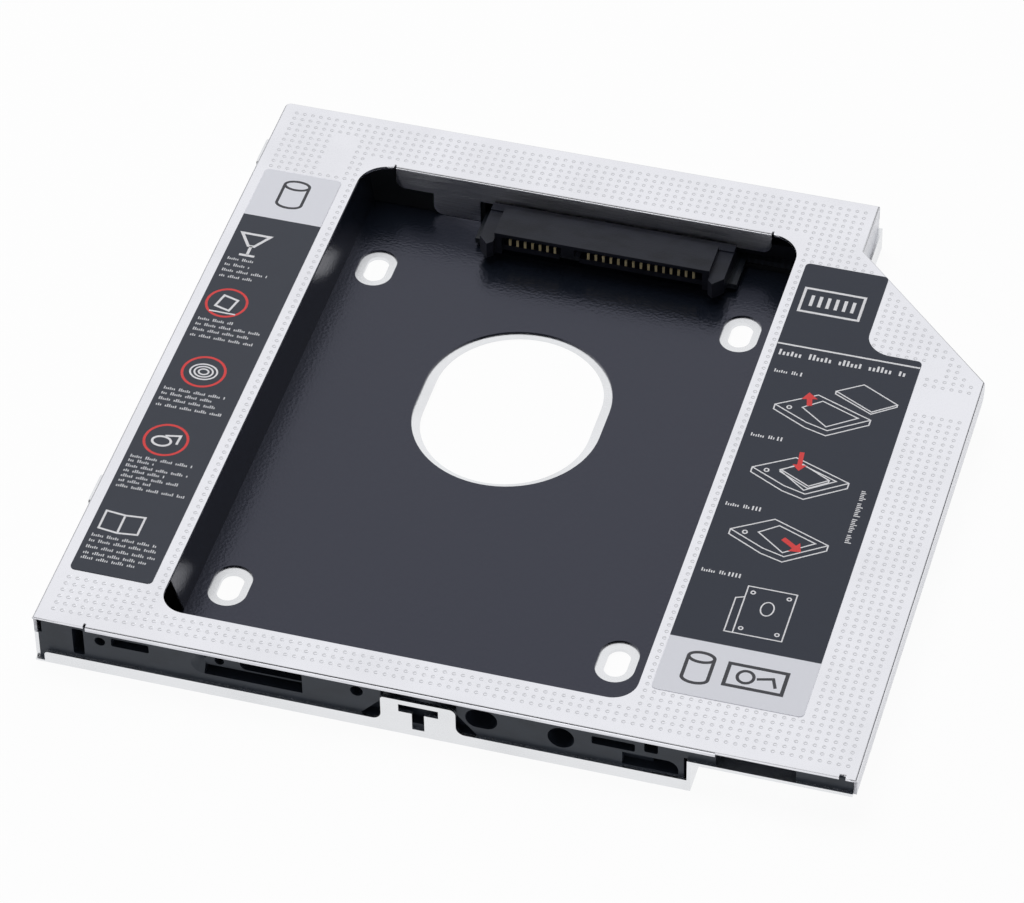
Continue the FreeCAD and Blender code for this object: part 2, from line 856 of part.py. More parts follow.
def build_rails():
    """Ribbed plastic strips under the cover at both sides of the drive."""
    length = rear_bar_front - s.small_gap - s.rail_front
    foot = across(s.flap_foot_place) - s.film_sheet
    left = new_body("left_rail")
    section = elevation(left, s.rail_front)
    outline(section, [
        (wall_inside, s.tray_sheet),
        (foot, s.tray_sheet),
        (foot - s.flap_lean, cover_under),
        (wall_inside, cover_under),
    ])
    add(left, section, length, backward=True)
    hollow_rail(left, wall_inside, foot - s.flap_lean, length)

    right = new_body("right_rail")
    section = elevation(right, s.rail_front)
    rail_left = across(s.right_rail_left)
    rectangle(section, rail_left, s.tray_sheet, inner_right - rail_left, cover_under - s.tray_sheet)
    add(right, section, length, backward=True)
    hollow_rail(right, rail_left, inner_right, length)
    return left, right


def hollow_rail(body, start, finish, length):
    """Cut a row of open cells into the underside of a rail, with ribs left between them."""
    pitch = (length - s.rail_wall) / RAIL_CELL_COUNT
    cell = plan(body, s.tray_sheet)
    rectangle(cell, start + s.rail_wall, s.rail_front + s.rail_wall,
              finish - start - s.rail_wall * 2, pitch - s.rail_wall)
    pocket = cut(body, cell, cover_under - s.tray_sheet - s.rail_wall, along=True)
    repeat(body, pocket, "Y_Axis", RAIL_CELL_COUNT, pitch)


def build_front_moulding():
    """Black plastic bar across the front, with its recesses, holes and slots."""
    body = new_body("front_moulding")
    face = s.tray_sheet
    wing_inside = right_face - s.cover_sheet - s.small_gap
    wing_floor = s.wing_height + s.tray_sheet
    bar = elevation(body, face)
    outline(bar, [
        (wall_inside, s.tray_sheet),
        (inner_right, s.tray_sheet),
        (inner_right, wing_floor),
        (wing_inside, wing_floor),
        (wing_inside, cover_under),
        (wall_inside + s.moulding_end_step, cover_under),
        (wall_inside + s.moulding_end_step, s.moulding_step_height),
        (wall_inside, s.moulding_step_height),
    ])
    add(body, bar, s.moulding_depth, backward=True)

    shallow = elevation(body, face)
    scoop_right = across(s.scoop_left + s.scoop_width)
    scoop_middle = across(s.scoop_left + s.scoop_end_width)
    rectangle(shallow, scoop_middle, s.scoop_foot, scoop_right - scoop_middle, s.scoop_height)
    cut(body, shallow, s.scoop_depth)

    dish = elevation(body, face)
    circle(dish, (scoop_middle, s.scoop_foot + s.scoop_height / 2), s.scoop_height / 2)
    scoop_end = cut(body, dish, s.scoop_depth)
    scoop_end.TaperAngle = SCOOP_TAPER

    side_recess = elevation(body, face)
    rectangle(side_recess, across(s.corner_recess_left), s.corner_hole_foot,
              s.corner_recess_width, s.corner_hole_height)
    cut(body, side_recess, s.recess_depth)

    deep = elevation(body, face)
    rectangle(deep, across(s.latch_slot_left), s.latch_slot_foot,
              s.latch_slot_width, s.latch_slot_height, s.slot_radius)
    circle(deep, (across(s.pin_hole_place), cover_under - s.pin_hole_drop), s.pin_hole_width / 2)
    rectangle(deep, across(s.left_slot_left), cover_under - s.left_slot_drop - s.left_slot_height,
              s.left_slot_width, s.left_slot_height, s.slot_radius)
    rectangle(deep, scoop_middle, s.scoop_foot, scoop_right - scoop_middle, s.scoop_sill)
    circle(deep, (across(s.lens_hole_place), cover_under - s.lens_hole_drop), s.lens_hole_width / 2)
    circle(deep, (across(s.screw_eye_place), cover_under - s.screw_eye_drop), s.screw_eye_width / 2)
    circle(deep, (across(s.round_hole_place), s.round_hole_rise), s.round_hole_width / 2)
    rectangle(deep, across(s.right_slot_left), cover_under - s.right_slot_drop - s.right_slot_height,
              s.right_slot_width, s.right_slot_height, s.slot_radius)
    rectangle(deep, across(s.square_hole_left),
              cover_under - s.square_hole_drop - s.square_hole_height,
              s.square_hole_width, s.square_hole_height, s.slot_radius)
    cut(body, deep, s.hole_depth)

    corner = elevation(body, face)
    corner_left = across(s.corner_recess_left + s.corner_recess_width)
    corner_top = s.corner_hole_foot + s.corner_hole_height
    outline(corner, [
        (corner_left, s.corner_hole_foot),
        (corner_left + s.corner_hole_width, s.corner_hole_foot),
        (corner_left + s.corner_hole_width, corner_top, s.corner_hole_radius),
        (corner_left, corner_top),
    ])
    slot_left = across(s.scoop_slot_left)
    slot_foot = s.scoop_foot + s.scoop_sill + s.scoop_bar
    slot_top = slot_foot + s.scoop_slot_height
    outline(corner, [
        (slot_left, slot_foot, s.scoop_slot_radius),
        (scoop_right, slot_foot),
        (scoop_right, slot_top, s.slot_radius),
        (slot_left, slot_top),
    ])
    rectangle(corner, across(s.oval_hole_left), s.oval_hole_foot, s.oval_hole_width,
              s.oval_hole_height, s.oval_hole_radius)
    cut(body, corner, s.hole_depth)

    latch_room = elevation(body, face)
    room_left = across(s.tab_left) - s.small_gap
    room_right = across(s.tab_left + s.tab_width)
    outline(latch_room, [
        (room_left - s.facet_width, s.tray_lip_height),
        (room_right + s.facet_width, s.tray_lip_height),
        (room_right, s.tray_lip_height + s.facet_height),
        (room_right, cover_under - s.small_gap * 3),
        (room_left, cover_under - s.small_gap * 3),
        (room_left, s.tray_lip_height + s.facet_height),
    ])
    cut(body, latch_room, s.recess_depth)

    wing_slot = elevation(body, face)
    wing_slot_left = right_face - s.wing_slot_right - s.wing_slot_width
    rectangle(wing_slot, wing_slot_left, s.wing_slot_foot, s.wing_slot_width,
              cover_under - s.wing_slot_foot)
    cut(body, wing_slot, s.hole_depth)

    screw_holes = plan(body, s.tray_sheet)
    for place in (s.first_front_screw, s.second_front_screw):
        circle(screw_holes, (across(place), s.front_screw_margin), s.screw_radius + s.screw_clearance)
    cut(body, screw_holes, s.screw_length, along=True)
    return body


def build_rear_moulding():
    """Plastic bar at the rear that carries the circuit board."""
    body = new_body("rear_moulding")
    bar = plan(body, s.tray_sheet)
    rectangle(bar, wall_inside, rear_bar_front, inner_right - wall_inside, inner_rear - rear_bar_front)
    add(body, bar, cover_under - s.tray_sheet)

    bed = plan(body, cover_under)
    bed_left = across(s.board_left) - s.board_side_gap
    bed_rear = s.case_depth - s.board_rear_margin + s.board_side_gap
    plug_side = across(s.plug_left) - s.board_side_gap
    outline(bed, [
        (bed_left, rear_bar_front),
        (inner_right, rear_bar_front),
        (inner_right, inner_rear),
        (plug_side, inner_rear),
        (plug_side, bed_rear),
        (bed_left, bed_rear),
    ])
    cut(body, bed, cover_under - board_foot)

    screw_holes = plan(body, s.tray_sheet)
    for place in (s.first_rear_screw, s.second_rear_screw):
        centre = (across(place), s.case_depth - s.rear_screw_margin)
        circle(screw_holes, centre, s.screw_radius + s.screw_clearance)
    cut(body, screw_holes, s.screw_length, along=True)

    board_holes = plan(body, s.tray_sheet)
    for centre in board_screw_places():
        circle(board_holes, centre, s.screw_radius + s.screw_clearance)
    cut(body, board_holes, s.board_rise, along=True)
    return body


def board_screw_places():
    """Centres of the screws that hold the circuit board."""
    for index in range(BOARD_SCREW_COUNT):
        place = across(s.board_screw_place + s.board_screw_pitch * index)
        yield place, s.case_depth - s.board_screw_margin


def peg_places():
    """Centres of the metal pegs under the two guide arms of the socket."""
    depth = socket_front() + s.socket_length / 2
    yield across(s.socket_left) - s.arm_width / 2, depth
    yield across(s.socket_left + s.socket_width) + s.arm_width / 2, depth


def build_circuit_board():
    """Circuit board that joins the drive's socket to the plug at the rear."""
    body = new_body("circuit_board")
    board = plan(body, board_foot)
    left = across(s.board_left)
    right = across(s.plug_left + s.plug_width) + s.board_end_margin
    front = s.case_depth - s.board_front_margin
    rear = s.case_depth - s.board_rear_margin
    shoulder = rear_bar_front + s.board_side_gap
    outline(board, [
        (left, front),
        (left + s.board_neck_width, front),
        (left + s.board_neck_width, shoulder),
        (right, shoulder),
        (right, rear),
        (left, rear),
    ])
    add(body, board, s.board_sheet)
    holes = plan(body, board_top)
    for centre in board_screw_places():
        circle(holes, centre, s.screw_radius + s.screw_clearance)
    for centre in peg_places():
        circle(holes, centre, s.peg_radius + s.screw_clearance)
    cut(body, holes, s.board_sheet)
    return body


def socket_front():
    """Distance of the socket's mating face behind the front face."""
    return s.case_depth - s.socket_front_margin


def contact_slots(body, sketch_depth, first, count, pitch, rise, sheet, depth, along):
    """Cut the row of narrow slots that a row of contacts passes through."""
    sketch = elevation(body, sketch_depth)
    rectangle(sketch, first, rise, s.contact_width, sheet)
    slot = cut(body, sketch, depth, along=along)
    repeat(body, slot, "X_Axis", count, pitch)


def build_drive_socket():
    """Socket that the drive slides onto, with two guide arms and a keyed mating face."""
    body = new_body("drive_connector_housing")
    front = socket_front()
    rear = front + s.socket_length
    left = across(s.socket_left)
    right = left + s.socket_width
    block = plan(body, board_top)
    rectangle(block, left, front, s.socket_width, s.socket_length)
    add(body, block, s.socket_top - board_top)

    arms = plan(body, board_top)
    for edge, side in ((left, -1), (right, 1)):
        outline(arms, [
            (edge, front - s.arm_nose),
            (edge + s.arm_nose * side, front - s.arm_reach),
            (edge + s.arm_width * side, front),
            (edge + s.arm_width * side, rear),
            (edge, rear),
        ])
    add(body, arms, s.arm_top - board_top)

    shelf = plan(body, board_top)
    rectangle(shelf, left - s.arm_width, rear, s.socket_width + s.arm_width * 2,
              s.socket_shelf_length)
    add(body, shelf, s.socket_shelf_top - board_top)

    mouth = elevation(body, front)
    signal_left = left + s.signal_cavity_inset
    power_left = signal_left + s.signal_cavity_width + s.key_wall
    cavity_height = s.socket_top - s.socket_roof - s.socket_cavity_foot
    rectangle(mouth, signal_left, s.socket_cavity_foot, s.signal_cavity_width, cavity_height)
    rectangle(mouth, power_left, s.socket_cavity_foot,
              right - s.signal_cavity_inset - power_left, cavity_height)
    cut(body, mouth, s.socket_cavity_depth)

    key = elevation(body, front)
    key_left = power_left - s.key_wall / 2 - s.key_gap_width / 2
    rectangle(key, key_left, board_top, s.key_gap_width, s.key_gap_top - board_top)
    cut(body, key, s.socket_cavity_depth / 2)

    sill = elevation(body, front)
    rectangle(sill, signal_left, board_top, right - s.signal_cavity_inset - signal_left,
              s.socket_cavity_foot - board_top)
    cut(body, sill, s.socket_sill_setback)

    tails = plan(body, board_top)
    rectangle(tails, signal_left, rear, right - s.signal_cavity_inset - signal_left,
              s.socket_shelf_length - s.tail_room_wall)
    cut(body, tails, s.contact_rise + s.contact_sheet - board_top, along=True)

    for name, inset in (("drive_signal", s.signal_contact_inset), ("drive_power", s.power_contact_inset)):
        contact_slots(body, rear, left + inset, CONTACT_COUNTS[name], s.contact_pitch, s.contact_rise,
                      s.contact_sheet, s.socket_length - s.socket_cavity_depth, True)

    pegs = plan(body, board_top)
    for centre in peg_places():
        circle(pegs, centre, s.peg_radius + s.screw_clearance)
    cut(body, pegs, s.peg_rise + s.screw_clearance, along=True)
    return body


def build_drive_contacts():
    """Contact rows of the drive's socket, bent down to the board behind it."""
    front = socket_front()
    rear = front + s.socket_length
    bodies = []
    for name, inset in (("drive_signal", s.signal_contact_inset), ("drive_power", s.power_contact_inset)):
        body = new_body(name + "_contacts")
        strip = profile(body, across(s.socket_left) + inset)
        heel = rear + s.contact_heel
        outline(strip, [
            (front + s.contact_nose, s.contact_rise - s.contact_tip_drop),
            (front + s.contact_nose + s.contact_sheet, s.contact_rise - s.contact_tip_drop),
            (front + s.contact_nose + s.contact_sheet, s.contact_rise),
            (heel - s.contact_sheet, s.contact_rise),
            (heel - s.contact_sheet, board_top),
            (heel + s.contact_foot, board_top),
            (heel + s.contact_foot, board_top + s.contact_sheet),
            (heel, board_top + s.contact_sheet),
            (heel, s.contact_rise + s.contact_sheet),
            (front + s.contact_nose, s.contact_rise + s.contact_sheet),
        ])
        first = add(body, strip, s.contact_width)
        repeat(body, first, "X_Axis", CONTACT_COUNTS[name], s.contact_pitch)
        bodies.append(body)
    return bodies


def build_connector_pegs():
    """Metal pegs that pin the socket's guide arms to the board."""
    body = new_body("connector_pegs")
    pegs = plan(body, board_foot + s.small_gap)
    for centre in peg_places():
        circle(pegs, centre, s.peg_radius)
    add(body, pegs, s.board_sheet - s.small_gap + s.peg_rise)
    return body


def host_rows():
    """Name, first place and pitch of the two contact rows of the plug."""
    signal_span = s.contact_pitch * (CONTACT_COUNTS["host_signal"] - 1) + s.contact_width
    power_span = s.host_power_pitch * (CONTACT_COUNTS["host_power"] - 1) + s.contact_width
    signal_start = s.signal_tongue_inset + (s.signal_tongue_width - signal_span) / 2
    power_start = s.power_tongue_inset + (s.power_tongue_width - power_span) / 2
    yield "host_signal", across(s.plug_left) + signal_start, s.contact_pitch
    yield "host_power", across(s.plug_left) + power_start, s.host_power_pitch


def build_host_plug():
    """Plug at the rear right: a shroud with two flat tongues that face the rear."""
    body = new_body("host_connector_housing")
    rear = s.case_depth
    front = rear - s.plug_length
    left = across(s.plug_left)
    block = plan(body, board_top)
    rectangle(block, left, front, s.plug_width, s.plug_length)
    add(body, block, s.plug_top - board_top)

    shelf = plan(body, board_top)
    rectangle(shelf, left, front - s.plug_shelf_length, s.plug_width, s.plug_shelf_length)
    add(body, shelf, s.plug_shelf_top - board_top)

    cavity = elevation(body, rear)
    rectangle(cavity, left + s.plug_wall, board_top + s.plug_wall,
              s.plug_width - s.plug_wall * 2, s.plug_top - board_top - s.plug_wall * 2)
    rectangle(cavity, left + s.signal_tongue_inset, s.tongue_foot,
              s.signal_tongue_width, s.tongue_sheet)
    rectangle(cavity, left + s.power_tongue_inset, s.tongue_foot,
              s.power_tongue_width, s.tongue_sheet)
    cut(body, cavity, s.plug_cavity_depth, along=True)

    rise = s.tongue_foot + s.tongue_sheet
    for name, first, pitch in host_rows():
        contact_slots(body, front, first, CONTACT_COUNTS[name], pitch, rise, s.contact_sheet,
                      s.plug_length - s.plug_cavity_depth, False)

    tails = plan(body, board_top)
    rectangle(tails, left + s.plug_wall, front - s.plug_shelf_length + s.tail_room_wall,
              s.plug_width - s.plug_wall * 2, s.plug_shelf_length - s.tail_room_wall)
    cut(body, tails, rise + s.contact_sheet - board_top, along=True)
    return body


def build_host_contacts():
    """Contact rows that lie on the plug's tongues and turn down to the board."""
    front = s.case_depth - s.plug_length
    rise = s.tongue_foot + s.tongue_sheet
    bodies = []
    for name, first, pitch in host_rows():
        body = new_body(name + "_contacts")
        strip = profile(body, first)
        heel = front - s.contact_heel
        nose = s.case_depth - s.contact_nose
        outline(strip, [
            (nose, rise),
            (nose, rise + s.contact_sheet),
            (heel, rise + s.contact_sheet),
            (heel, board_top + s.contact_sheet),
            (heel - s.contact_foot / 2, board_top + s.contact_sheet),
            (heel - s.contact_foot / 2, board_top),
            (heel + s.contact_sheet, board_top),
            (heel + s.contact_sheet, rise),
        ])
        first_strip = add(body, strip, s.contact_width)
        repeat(body, first_strip, "X_Axis", CONTACT_COUNTS[name], pitch)
        bodies.append(body)
    return bodies


def build_board_parts():
    """Small capacitors on the board, and the screws that hold the board down."""
    parts = new_body("board_capacitors")
    pad_sketch = plan(parts, board_top)
    rectangle(pad_sketch, across(s.capacitor_left), s.case_depth - s.capacitor_margin,
              s.capacitor_width, s.capacitor_length)
    first = add(parts, pad_sketch, s.capacitor_height)
    repeat(parts, first, "X_Axis", CAPACITOR_COUNT, s.capacitor_pitch)

    screws = new_body("board_screws")
    shank = plan(screws, s.tray_sheet + s.small_gap)
    heads = plan(screws, board_top)
    for centre in board_screw_places():
        circle(shank, centre, s.screw_radius)
        circle(heads, centre, s.screw_head_radius)
    add(screws, shank, board_top - s.tray_sheet)
    add(screws, heads, s.board_screw_head)
    head_top = board_top + s.board_screw_head
    soften(screws, "Chamfer", "Size", s.board_screw_head / 2, lambda point: same(point.z, head_top))
    return parts, screws


def build_frame_screws():
    """Countersunk screws from below into the front and rear mouldings."""
    body = new_body("frame_screws")
    shank = plan(body, 0)
    heads = plan(body, 0)
    for centre in frame_screw_places():
        circle(shank, centre, s.screw_radius)
        circle(heads, centre, s.screw_radius + s.sink_depth)
    add(body, heads, s.tray_sheet)
    soften(body, "Chamfer", "Size", s.sink_depth, lambda point: same(point.z, s.tray_sheet))
    add(body, shank, s.screw_length)
    return body


def build_labels():
    """Two thin labels stuck on the cover beside the window."""
    left = new_body("left_label")
    sheet = plan(left, cover_top)
    rectangle(sheet, across(s.left_label_left), s.left_label_front, s.left_label_width,
              s.case_depth - s.left_label_rear_margin - s.left_label_front, s.label_corner_radius)
    add(left, sheet, s.label_sheet)

    right = new_body("right_label")
    sheet = plan(right, cover_top)
    edge = across(s.right_label_left)
    far_edge = edge + s.right_label_width
    neck = edge + s.right_label_neck
    shoulder = s.case_depth - s.right_label_shoulder_margin
    label_rear = s.case_depth - s.right_label_rear_margin
    outline(sheet, [
        (edge, s.right_label_front, s.label_corner_radius),
        (far_edge, s.right_label_front, s.label_corner_radius),
        (far_edge, shoulder, s.label_corner_radius),
        (neck, shoulder, s.label_shoulder_radius),
        (neck, label_rear, s.label_corner_radius),
        (edge, label_rear, s.label_corner_radius),
    ])
    add(right, sheet, s.label_sheet)
    return left, right


def check(bodies):
    """Stop with a plain message if any feature failed or any piece is empty or invalid."""
    for item in doc.Objects:
        if "Invalid" in item.State or "Error" in item.State:
            raise RuntimeError(f"{item.Label} did not build")
    for body in bodies:
        if body.Shape.isNull() or not body.Shape.isValid():
            raise RuntimeError(f"{body.Label} has no valid shape")


def main():
    """Build every piece, check it and write one STEP file for each."""
    bodies = [build_top_cover(), build_bottom_shell(), build_insulating_film()]
    bodies.extend(build_rails())
    bodies.append(build_front_moulding())
    bodies.append(build_rear_moulding())
    bodies.append(build_circuit_board())
    bodies.append(build_drive_socket())
    bodies.extend(build_drive_contacts())
    bodies.append(build_connector_pegs())
    bodies.append(build_host_plug())
    bodies.extend(build_host_contacts())
    bodies.extend(build_board_parts())
    bodies.append(build_frame_screws())
    bodies.extend(build_labels())
    doc.recompute()
    check(bodies)
    os.makedirs("parts", exist_ok=True)
    for body in bodies:
        body.Shape.exportStep(f"parts/{body.Label}.step")
        print(body.Label, len(body.Shape.Solids), round(body.Shape.Volume, 2))


main()
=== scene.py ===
"""Studio scene of a slim folded metal caddy that holds a 2.5 inch drive in an optical bay.

Lengths inside the classes are millimetres. Places along the caddy are measured from its front
face, as in the part's own drawing, and `place` turns them into metres of the shared frame.
"""

import logging
import math
from dataclasses import dataclass, field
from enum import Enum
from itertools import product
from typing import Any, Iterable, Iterator, Sequence

import bmesh
import bpy
from mathutils import Matrix, Vector
from mathutils.geometry import delaunay_2d_cdt


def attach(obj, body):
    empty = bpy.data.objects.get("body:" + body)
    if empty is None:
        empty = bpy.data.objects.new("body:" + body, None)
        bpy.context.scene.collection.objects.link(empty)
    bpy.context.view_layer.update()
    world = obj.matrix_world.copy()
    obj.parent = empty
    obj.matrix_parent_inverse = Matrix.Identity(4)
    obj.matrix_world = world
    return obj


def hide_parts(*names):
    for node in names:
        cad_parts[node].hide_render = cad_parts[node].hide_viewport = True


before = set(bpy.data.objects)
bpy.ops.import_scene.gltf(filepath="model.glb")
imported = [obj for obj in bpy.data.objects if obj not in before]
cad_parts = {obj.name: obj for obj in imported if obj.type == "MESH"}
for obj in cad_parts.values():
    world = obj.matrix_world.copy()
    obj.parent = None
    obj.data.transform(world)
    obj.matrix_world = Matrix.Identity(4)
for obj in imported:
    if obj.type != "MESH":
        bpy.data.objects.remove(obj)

log = logging.getLogger("caddy")

MM = 0.001
HALF_DEPTH = 63.05  # from the frame's middle to the front face
COVER_TOP = 9.4  # upper face of the cover's sheet
WALL_DEPTH = 0.155  # how far a dimple's wall reaches down from it
LABEL_TOP = 9.488  # upper face of the labels' film
SAME_SPOT = 2e-6  # metres within which two places are one
WHITE_LIGHT = (1.0, 1.0, 1.0, 1.0)
MIX_COLOURS, MIX_RESULT = (6, 7), 2  # a Mix node's colour sockets and its colour output
BODY = "root"
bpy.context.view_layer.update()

Colour = tuple[float, float, float]
Point = tuple[float, float]
Points = tuple[Point, ...]
Numbers = tuple[float, ...]
Pair = tuple[int, int]


def place(x: float, y: float, z: float) -> Vector:
    """A place across the bay, behind the front face and above the underside, in metres."""
    return Vector((x, y - HALF_DEPTH, z)) * MM


class Wire:
    """One shader socket that takes part in arithmetic with numbers and other wires."""

    def __init__(self, graph: "Graph", socket: bpy.types.NodeSocket) -> None:
        """Keep the socket and the graph that it belongs to."""
        self.graph = graph
        self.socket = socket

    def part(self, name: str) -> "Wire":
        """Another output of the same node, by name."""
        return Wire(self.graph, self.socket.node.outputs[name])

    def __add__(self, other: "Value") -> "Wire":
        """Sum of two values."""
        return self.graph.maths("ADD", self, other)

    def __radd__(self, other: "Value") -> "Wire":
        """Sum with the number on the left."""
        return self.graph.maths("ADD", other, self)

    def __sub__(self, other: "Value") -> "Wire":
        """Difference of two values."""
        return self.graph.maths("SUBTRACT", self, other)

    def __rsub__(self, other: "Value") -> "Wire":
        """Difference with the number on the left."""
        return self.graph.maths("SUBTRACT", other, self)

    def __mul__(self, other: "Value") -> "Wire":
        """Product of two values."""
        return self.graph.maths("MULTIPLY", self, other)

    def __rmul__(self, other: "Value") -> "Wire":
        """Product with the number on the left."""
        return self.graph.maths("MULTIPLY", other, self)

    def step(self, low: float, high: float) -> "Wire":
        """A smooth step of this value, 0 at the low one and 1 at the high one."""
        return self.graph.node("ShaderNodeMapRange", {"interpolation_type": "SMOOTHSTEP"},
                               {"Value": self, "From Min": low, "From Max": high})


Value = Wire | float | Sequence[float]


class Graph:
    """The node tree of a material or a world, with one method that adds any node."""

    def __init__(self, holder: bpy.types.Material | bpy.types.World) -> None:
        """Empty the holder's tree and keep it."""
        self.holder = holder
        holder.use_nodes = True
        self.tree = holder.node_tree
        self.tree.nodes.clear()

    def node(
        self,
        kind: str,
        settings: dict[str, Any] | None = None,
        inputs: dict[str | int, Value] | None = None,
        output: str | int = 0,
    ) -> Wire:
        """Add a node.

        Args:
            kind: The node's type.
            settings: Its own settings, set first.
            inputs: Values or wires of its sockets, by name or number.
            output: The output that the wire reads.

        Returns:
            A wire from the asked output.
        """
        made = self.tree.nodes.new(kind)
        for name, setting in (settings or {}).items():
            setattr(made, name, setting)
        for name, value in (inputs or {}).items():
            if isinstance(value, Wire):
                self.tree.links.new(value.socket, made.inputs[name])
            else:
                made.inputs[name].default_value = value
        return Wire(self, made.outputs[output])

    def maths(self, operation: str, *values: Value) -> Wire:
        """A Math node of that operation on up to three values."""
        return self.node("ShaderNodeMath", {"operation": operation}, dict(enumerate(values)))

    def position(self, stretch: Sequence[float] = (1.0, 1.0, 1.0)) -> Wire:
        """Place on the object in millimetres, stretched along each axis.

        Args:
            stretch: Factors along X, Y and Z.

        Returns:
            The place as a vector wire.
        """
        spot = self.node("ShaderNodeTexCoord", output="Object")
        scale = tuple(factor / MM for factor in stretch)
        return self.node(
            "ShaderNodeVectorMath", {"operation": "MULTIPLY"}, {0: spot, 1: scale}
        )

    def along(self, axis: str) -> Wire:
        """Place on the object along one axis, in millimetres."""
        return self.node("ShaderNodeSeparateXYZ", None, {0: self.position()}, axis)

    def noise(self, size: float, detail: float = 2.0,
              stretch: Sequence[float] = (1.0, 1.0, 1.0)) -> Wire:
        """Soft noise from 0 to 1.

        Args:
            size: Width of its features in millimetres.
            detail: Finer layers on top.
            stretch: Factors that narrow the features along each axis.

        Returns:
            The noise as a wire.
        """
        return self.node(
            "ShaderNodeTexNoise",
            {"noise_dimensions": "3D"},
            {"Vector": self.position(stretch), "Scale": 1.0 / size, "Detail": detail},
            "Fac",
        )

    def cells(self, size: float) -> Wire:
        """Distance inside a field of rounded cells of that width in millimetres."""
        return self.node("ShaderNodeTexVoronoi", {"feature": "F1"},
                         {"Vector": self.position(), "Scale": 1.0 / size}, "Distance")

    def blend(self, factor: Value, first: Value, second: Value) -> Wire:
        """Mix two colours.

        Args:
            factor: Share of the second colour.
            first: Colour at factor 0.
            second: Colour at factor 1.

        Returns:
            The mixed colour.
        """
        colours = {
            slot: value if isinstance(value, Wire) else (*value, 1.0)
            for slot, value in zip(MIX_COLOURS, (first, second))
        }
        return self.node("ShaderNodeMix", {"data_type": "RGBA"}, {0: factor, **colours},
                         MIX_RESULT)

    def bump(self, height: Wire, reach: float) -> Wire:
        """A normal pushed by a height from 0 to 1 that stands for a reach in millimetres."""
        return self.node("ShaderNodeBump", None, {"Height": height, "Distance": reach * MM})

    def finish(self, constants: dict[str, Any], varying: dict[str, Wire]) -> bpy.types.Material:
        """Add the shader and the output.

        Args:
            constants: Numbers and colours set on the shader's own sockets.
            varying: Wires that change over the surface.

        Returns:
            The finished material.
        """
        shader = self.node("ShaderNodeBsdfPrincipled", None, {**constants, **varying})
        self.output(shader)
        return self.holder

    def output(self, shader: Wire) -> None:
        """Join a shader to the output of the material or the world."""
        kind = "World" if isinstance(self.holder, bpy.types.World) else "Material"
        made = self.tree.nodes.new("ShaderNodeOutput" + kind)
        self.tree.links.new(shader.socket, made.inputs["Surface"])

    def shown(self) -> Wire:
        """1 for rays that show the background: camera, glossy and transmission rays."""
        ray = self.node("ShaderNodeLightPath", output="Is Camera Ray")
        mirrored = self.maths("MAXIMUM", ray, ray.part("Is Glossy Ray"))
        return self.maths("MAXIMUM", mirrored, ray.part("Is Transmission Ray"))


@dataclass(frozen=True)
class Finish:
    """A surface finish that gives one material."""

    name: str
    colour: Colour
    roughness: float
    metallic: float = 0.0
    specular: float = 0.5
    mirror_tint: Colour = (1.0, 1.0, 1.0)

    def constants(self) -> dict[str, Any]:
        """Values that are the same all over the surface."""
        return {
            "Base Color": (*self.colour, 1.0),
            "Roughness": self.roughness,
            "Metallic": self.metallic,
            "Specular IOR Level": self.specular,
            "Specular Tint": (*self.mirror_tint, 1.0),
        }

    def tone(self, factor: float) -> Colour:
        """The finish's colour times a factor."""
        return tuple(level * factor for level in self.colour)

    def tinted(self, graph: Graph, share: Value, strength: float) -> Wire:
        """The finish's colour, darker by a strength where a share from 0 to 1 is high."""
        return graph.blend(share, self.colour, self.tone(1.0 - strength))

    def rough(self, uneven: Wire, width: float) -> Wire:
        """The finish's roughness with an unevenness whose mean is half its width."""
        return uneven + (self.roughness - width / 2)

    def dress(self, graph: Graph) -> dict[str, Wire]:
        """Wires for the sockets that vary over the surface."""
        return {}

    def material(self) -> bpy.types.Material:
        """The finish's material, made once."""
        known = bpy.data.materials.get(self.name)
        if known is not None:
            return known
        graph = Graph(bpy.data.materials.new(self.name))
        return graph.finish(self.constants(), self.dress(graph))


@dataclass(frozen=True)
class SheetMetal(Finish):
    """Rolled sheet with a fine grain along the roll and soft clouds of tone."""

    grain_width: float = 0.05
    grain_stretch: float = 0.06
    grain_reach: float = 0.0012
    grain_spread: float = 0.12
    cloud_size: float = 14.0
    cloud_edges: Point = (0.35, 0.75)
    cloud_strength: float = 0.05
    cloud_spread: float = 0.05
    speck_size: float = 0.5
    speck_edges: Point = (0.62, 0.8)
    speck_share: float = 0.3

    def dress(self, graph: Graph) -> dict[str, Wire]:
        """Grain in the normal and the roughness, clouds and specks in the colour."""
        grain = graph.noise(self.grain_width, 3.0, (self.grain_stretch, 1.0, 1.0))
        clouds = graph.noise(self.cloud_size, 3.0)
        specks = graph.noise(self.speck_size).step(*self.speck_edges)
        darker = clouds.step(*self.cloud_edges) + specks * self.speck_share
        uneven = (grain - 0.5) * self.grain_spread + clouds * self.cloud_spread
        return {
            "Base Color": self.tinted(graph, darker, self.cloud_strength),
            "Roughness": self.rough(uneven, self.cloud_spread),
            "Normal": graph.bump(grain, self.grain_reach),
        }


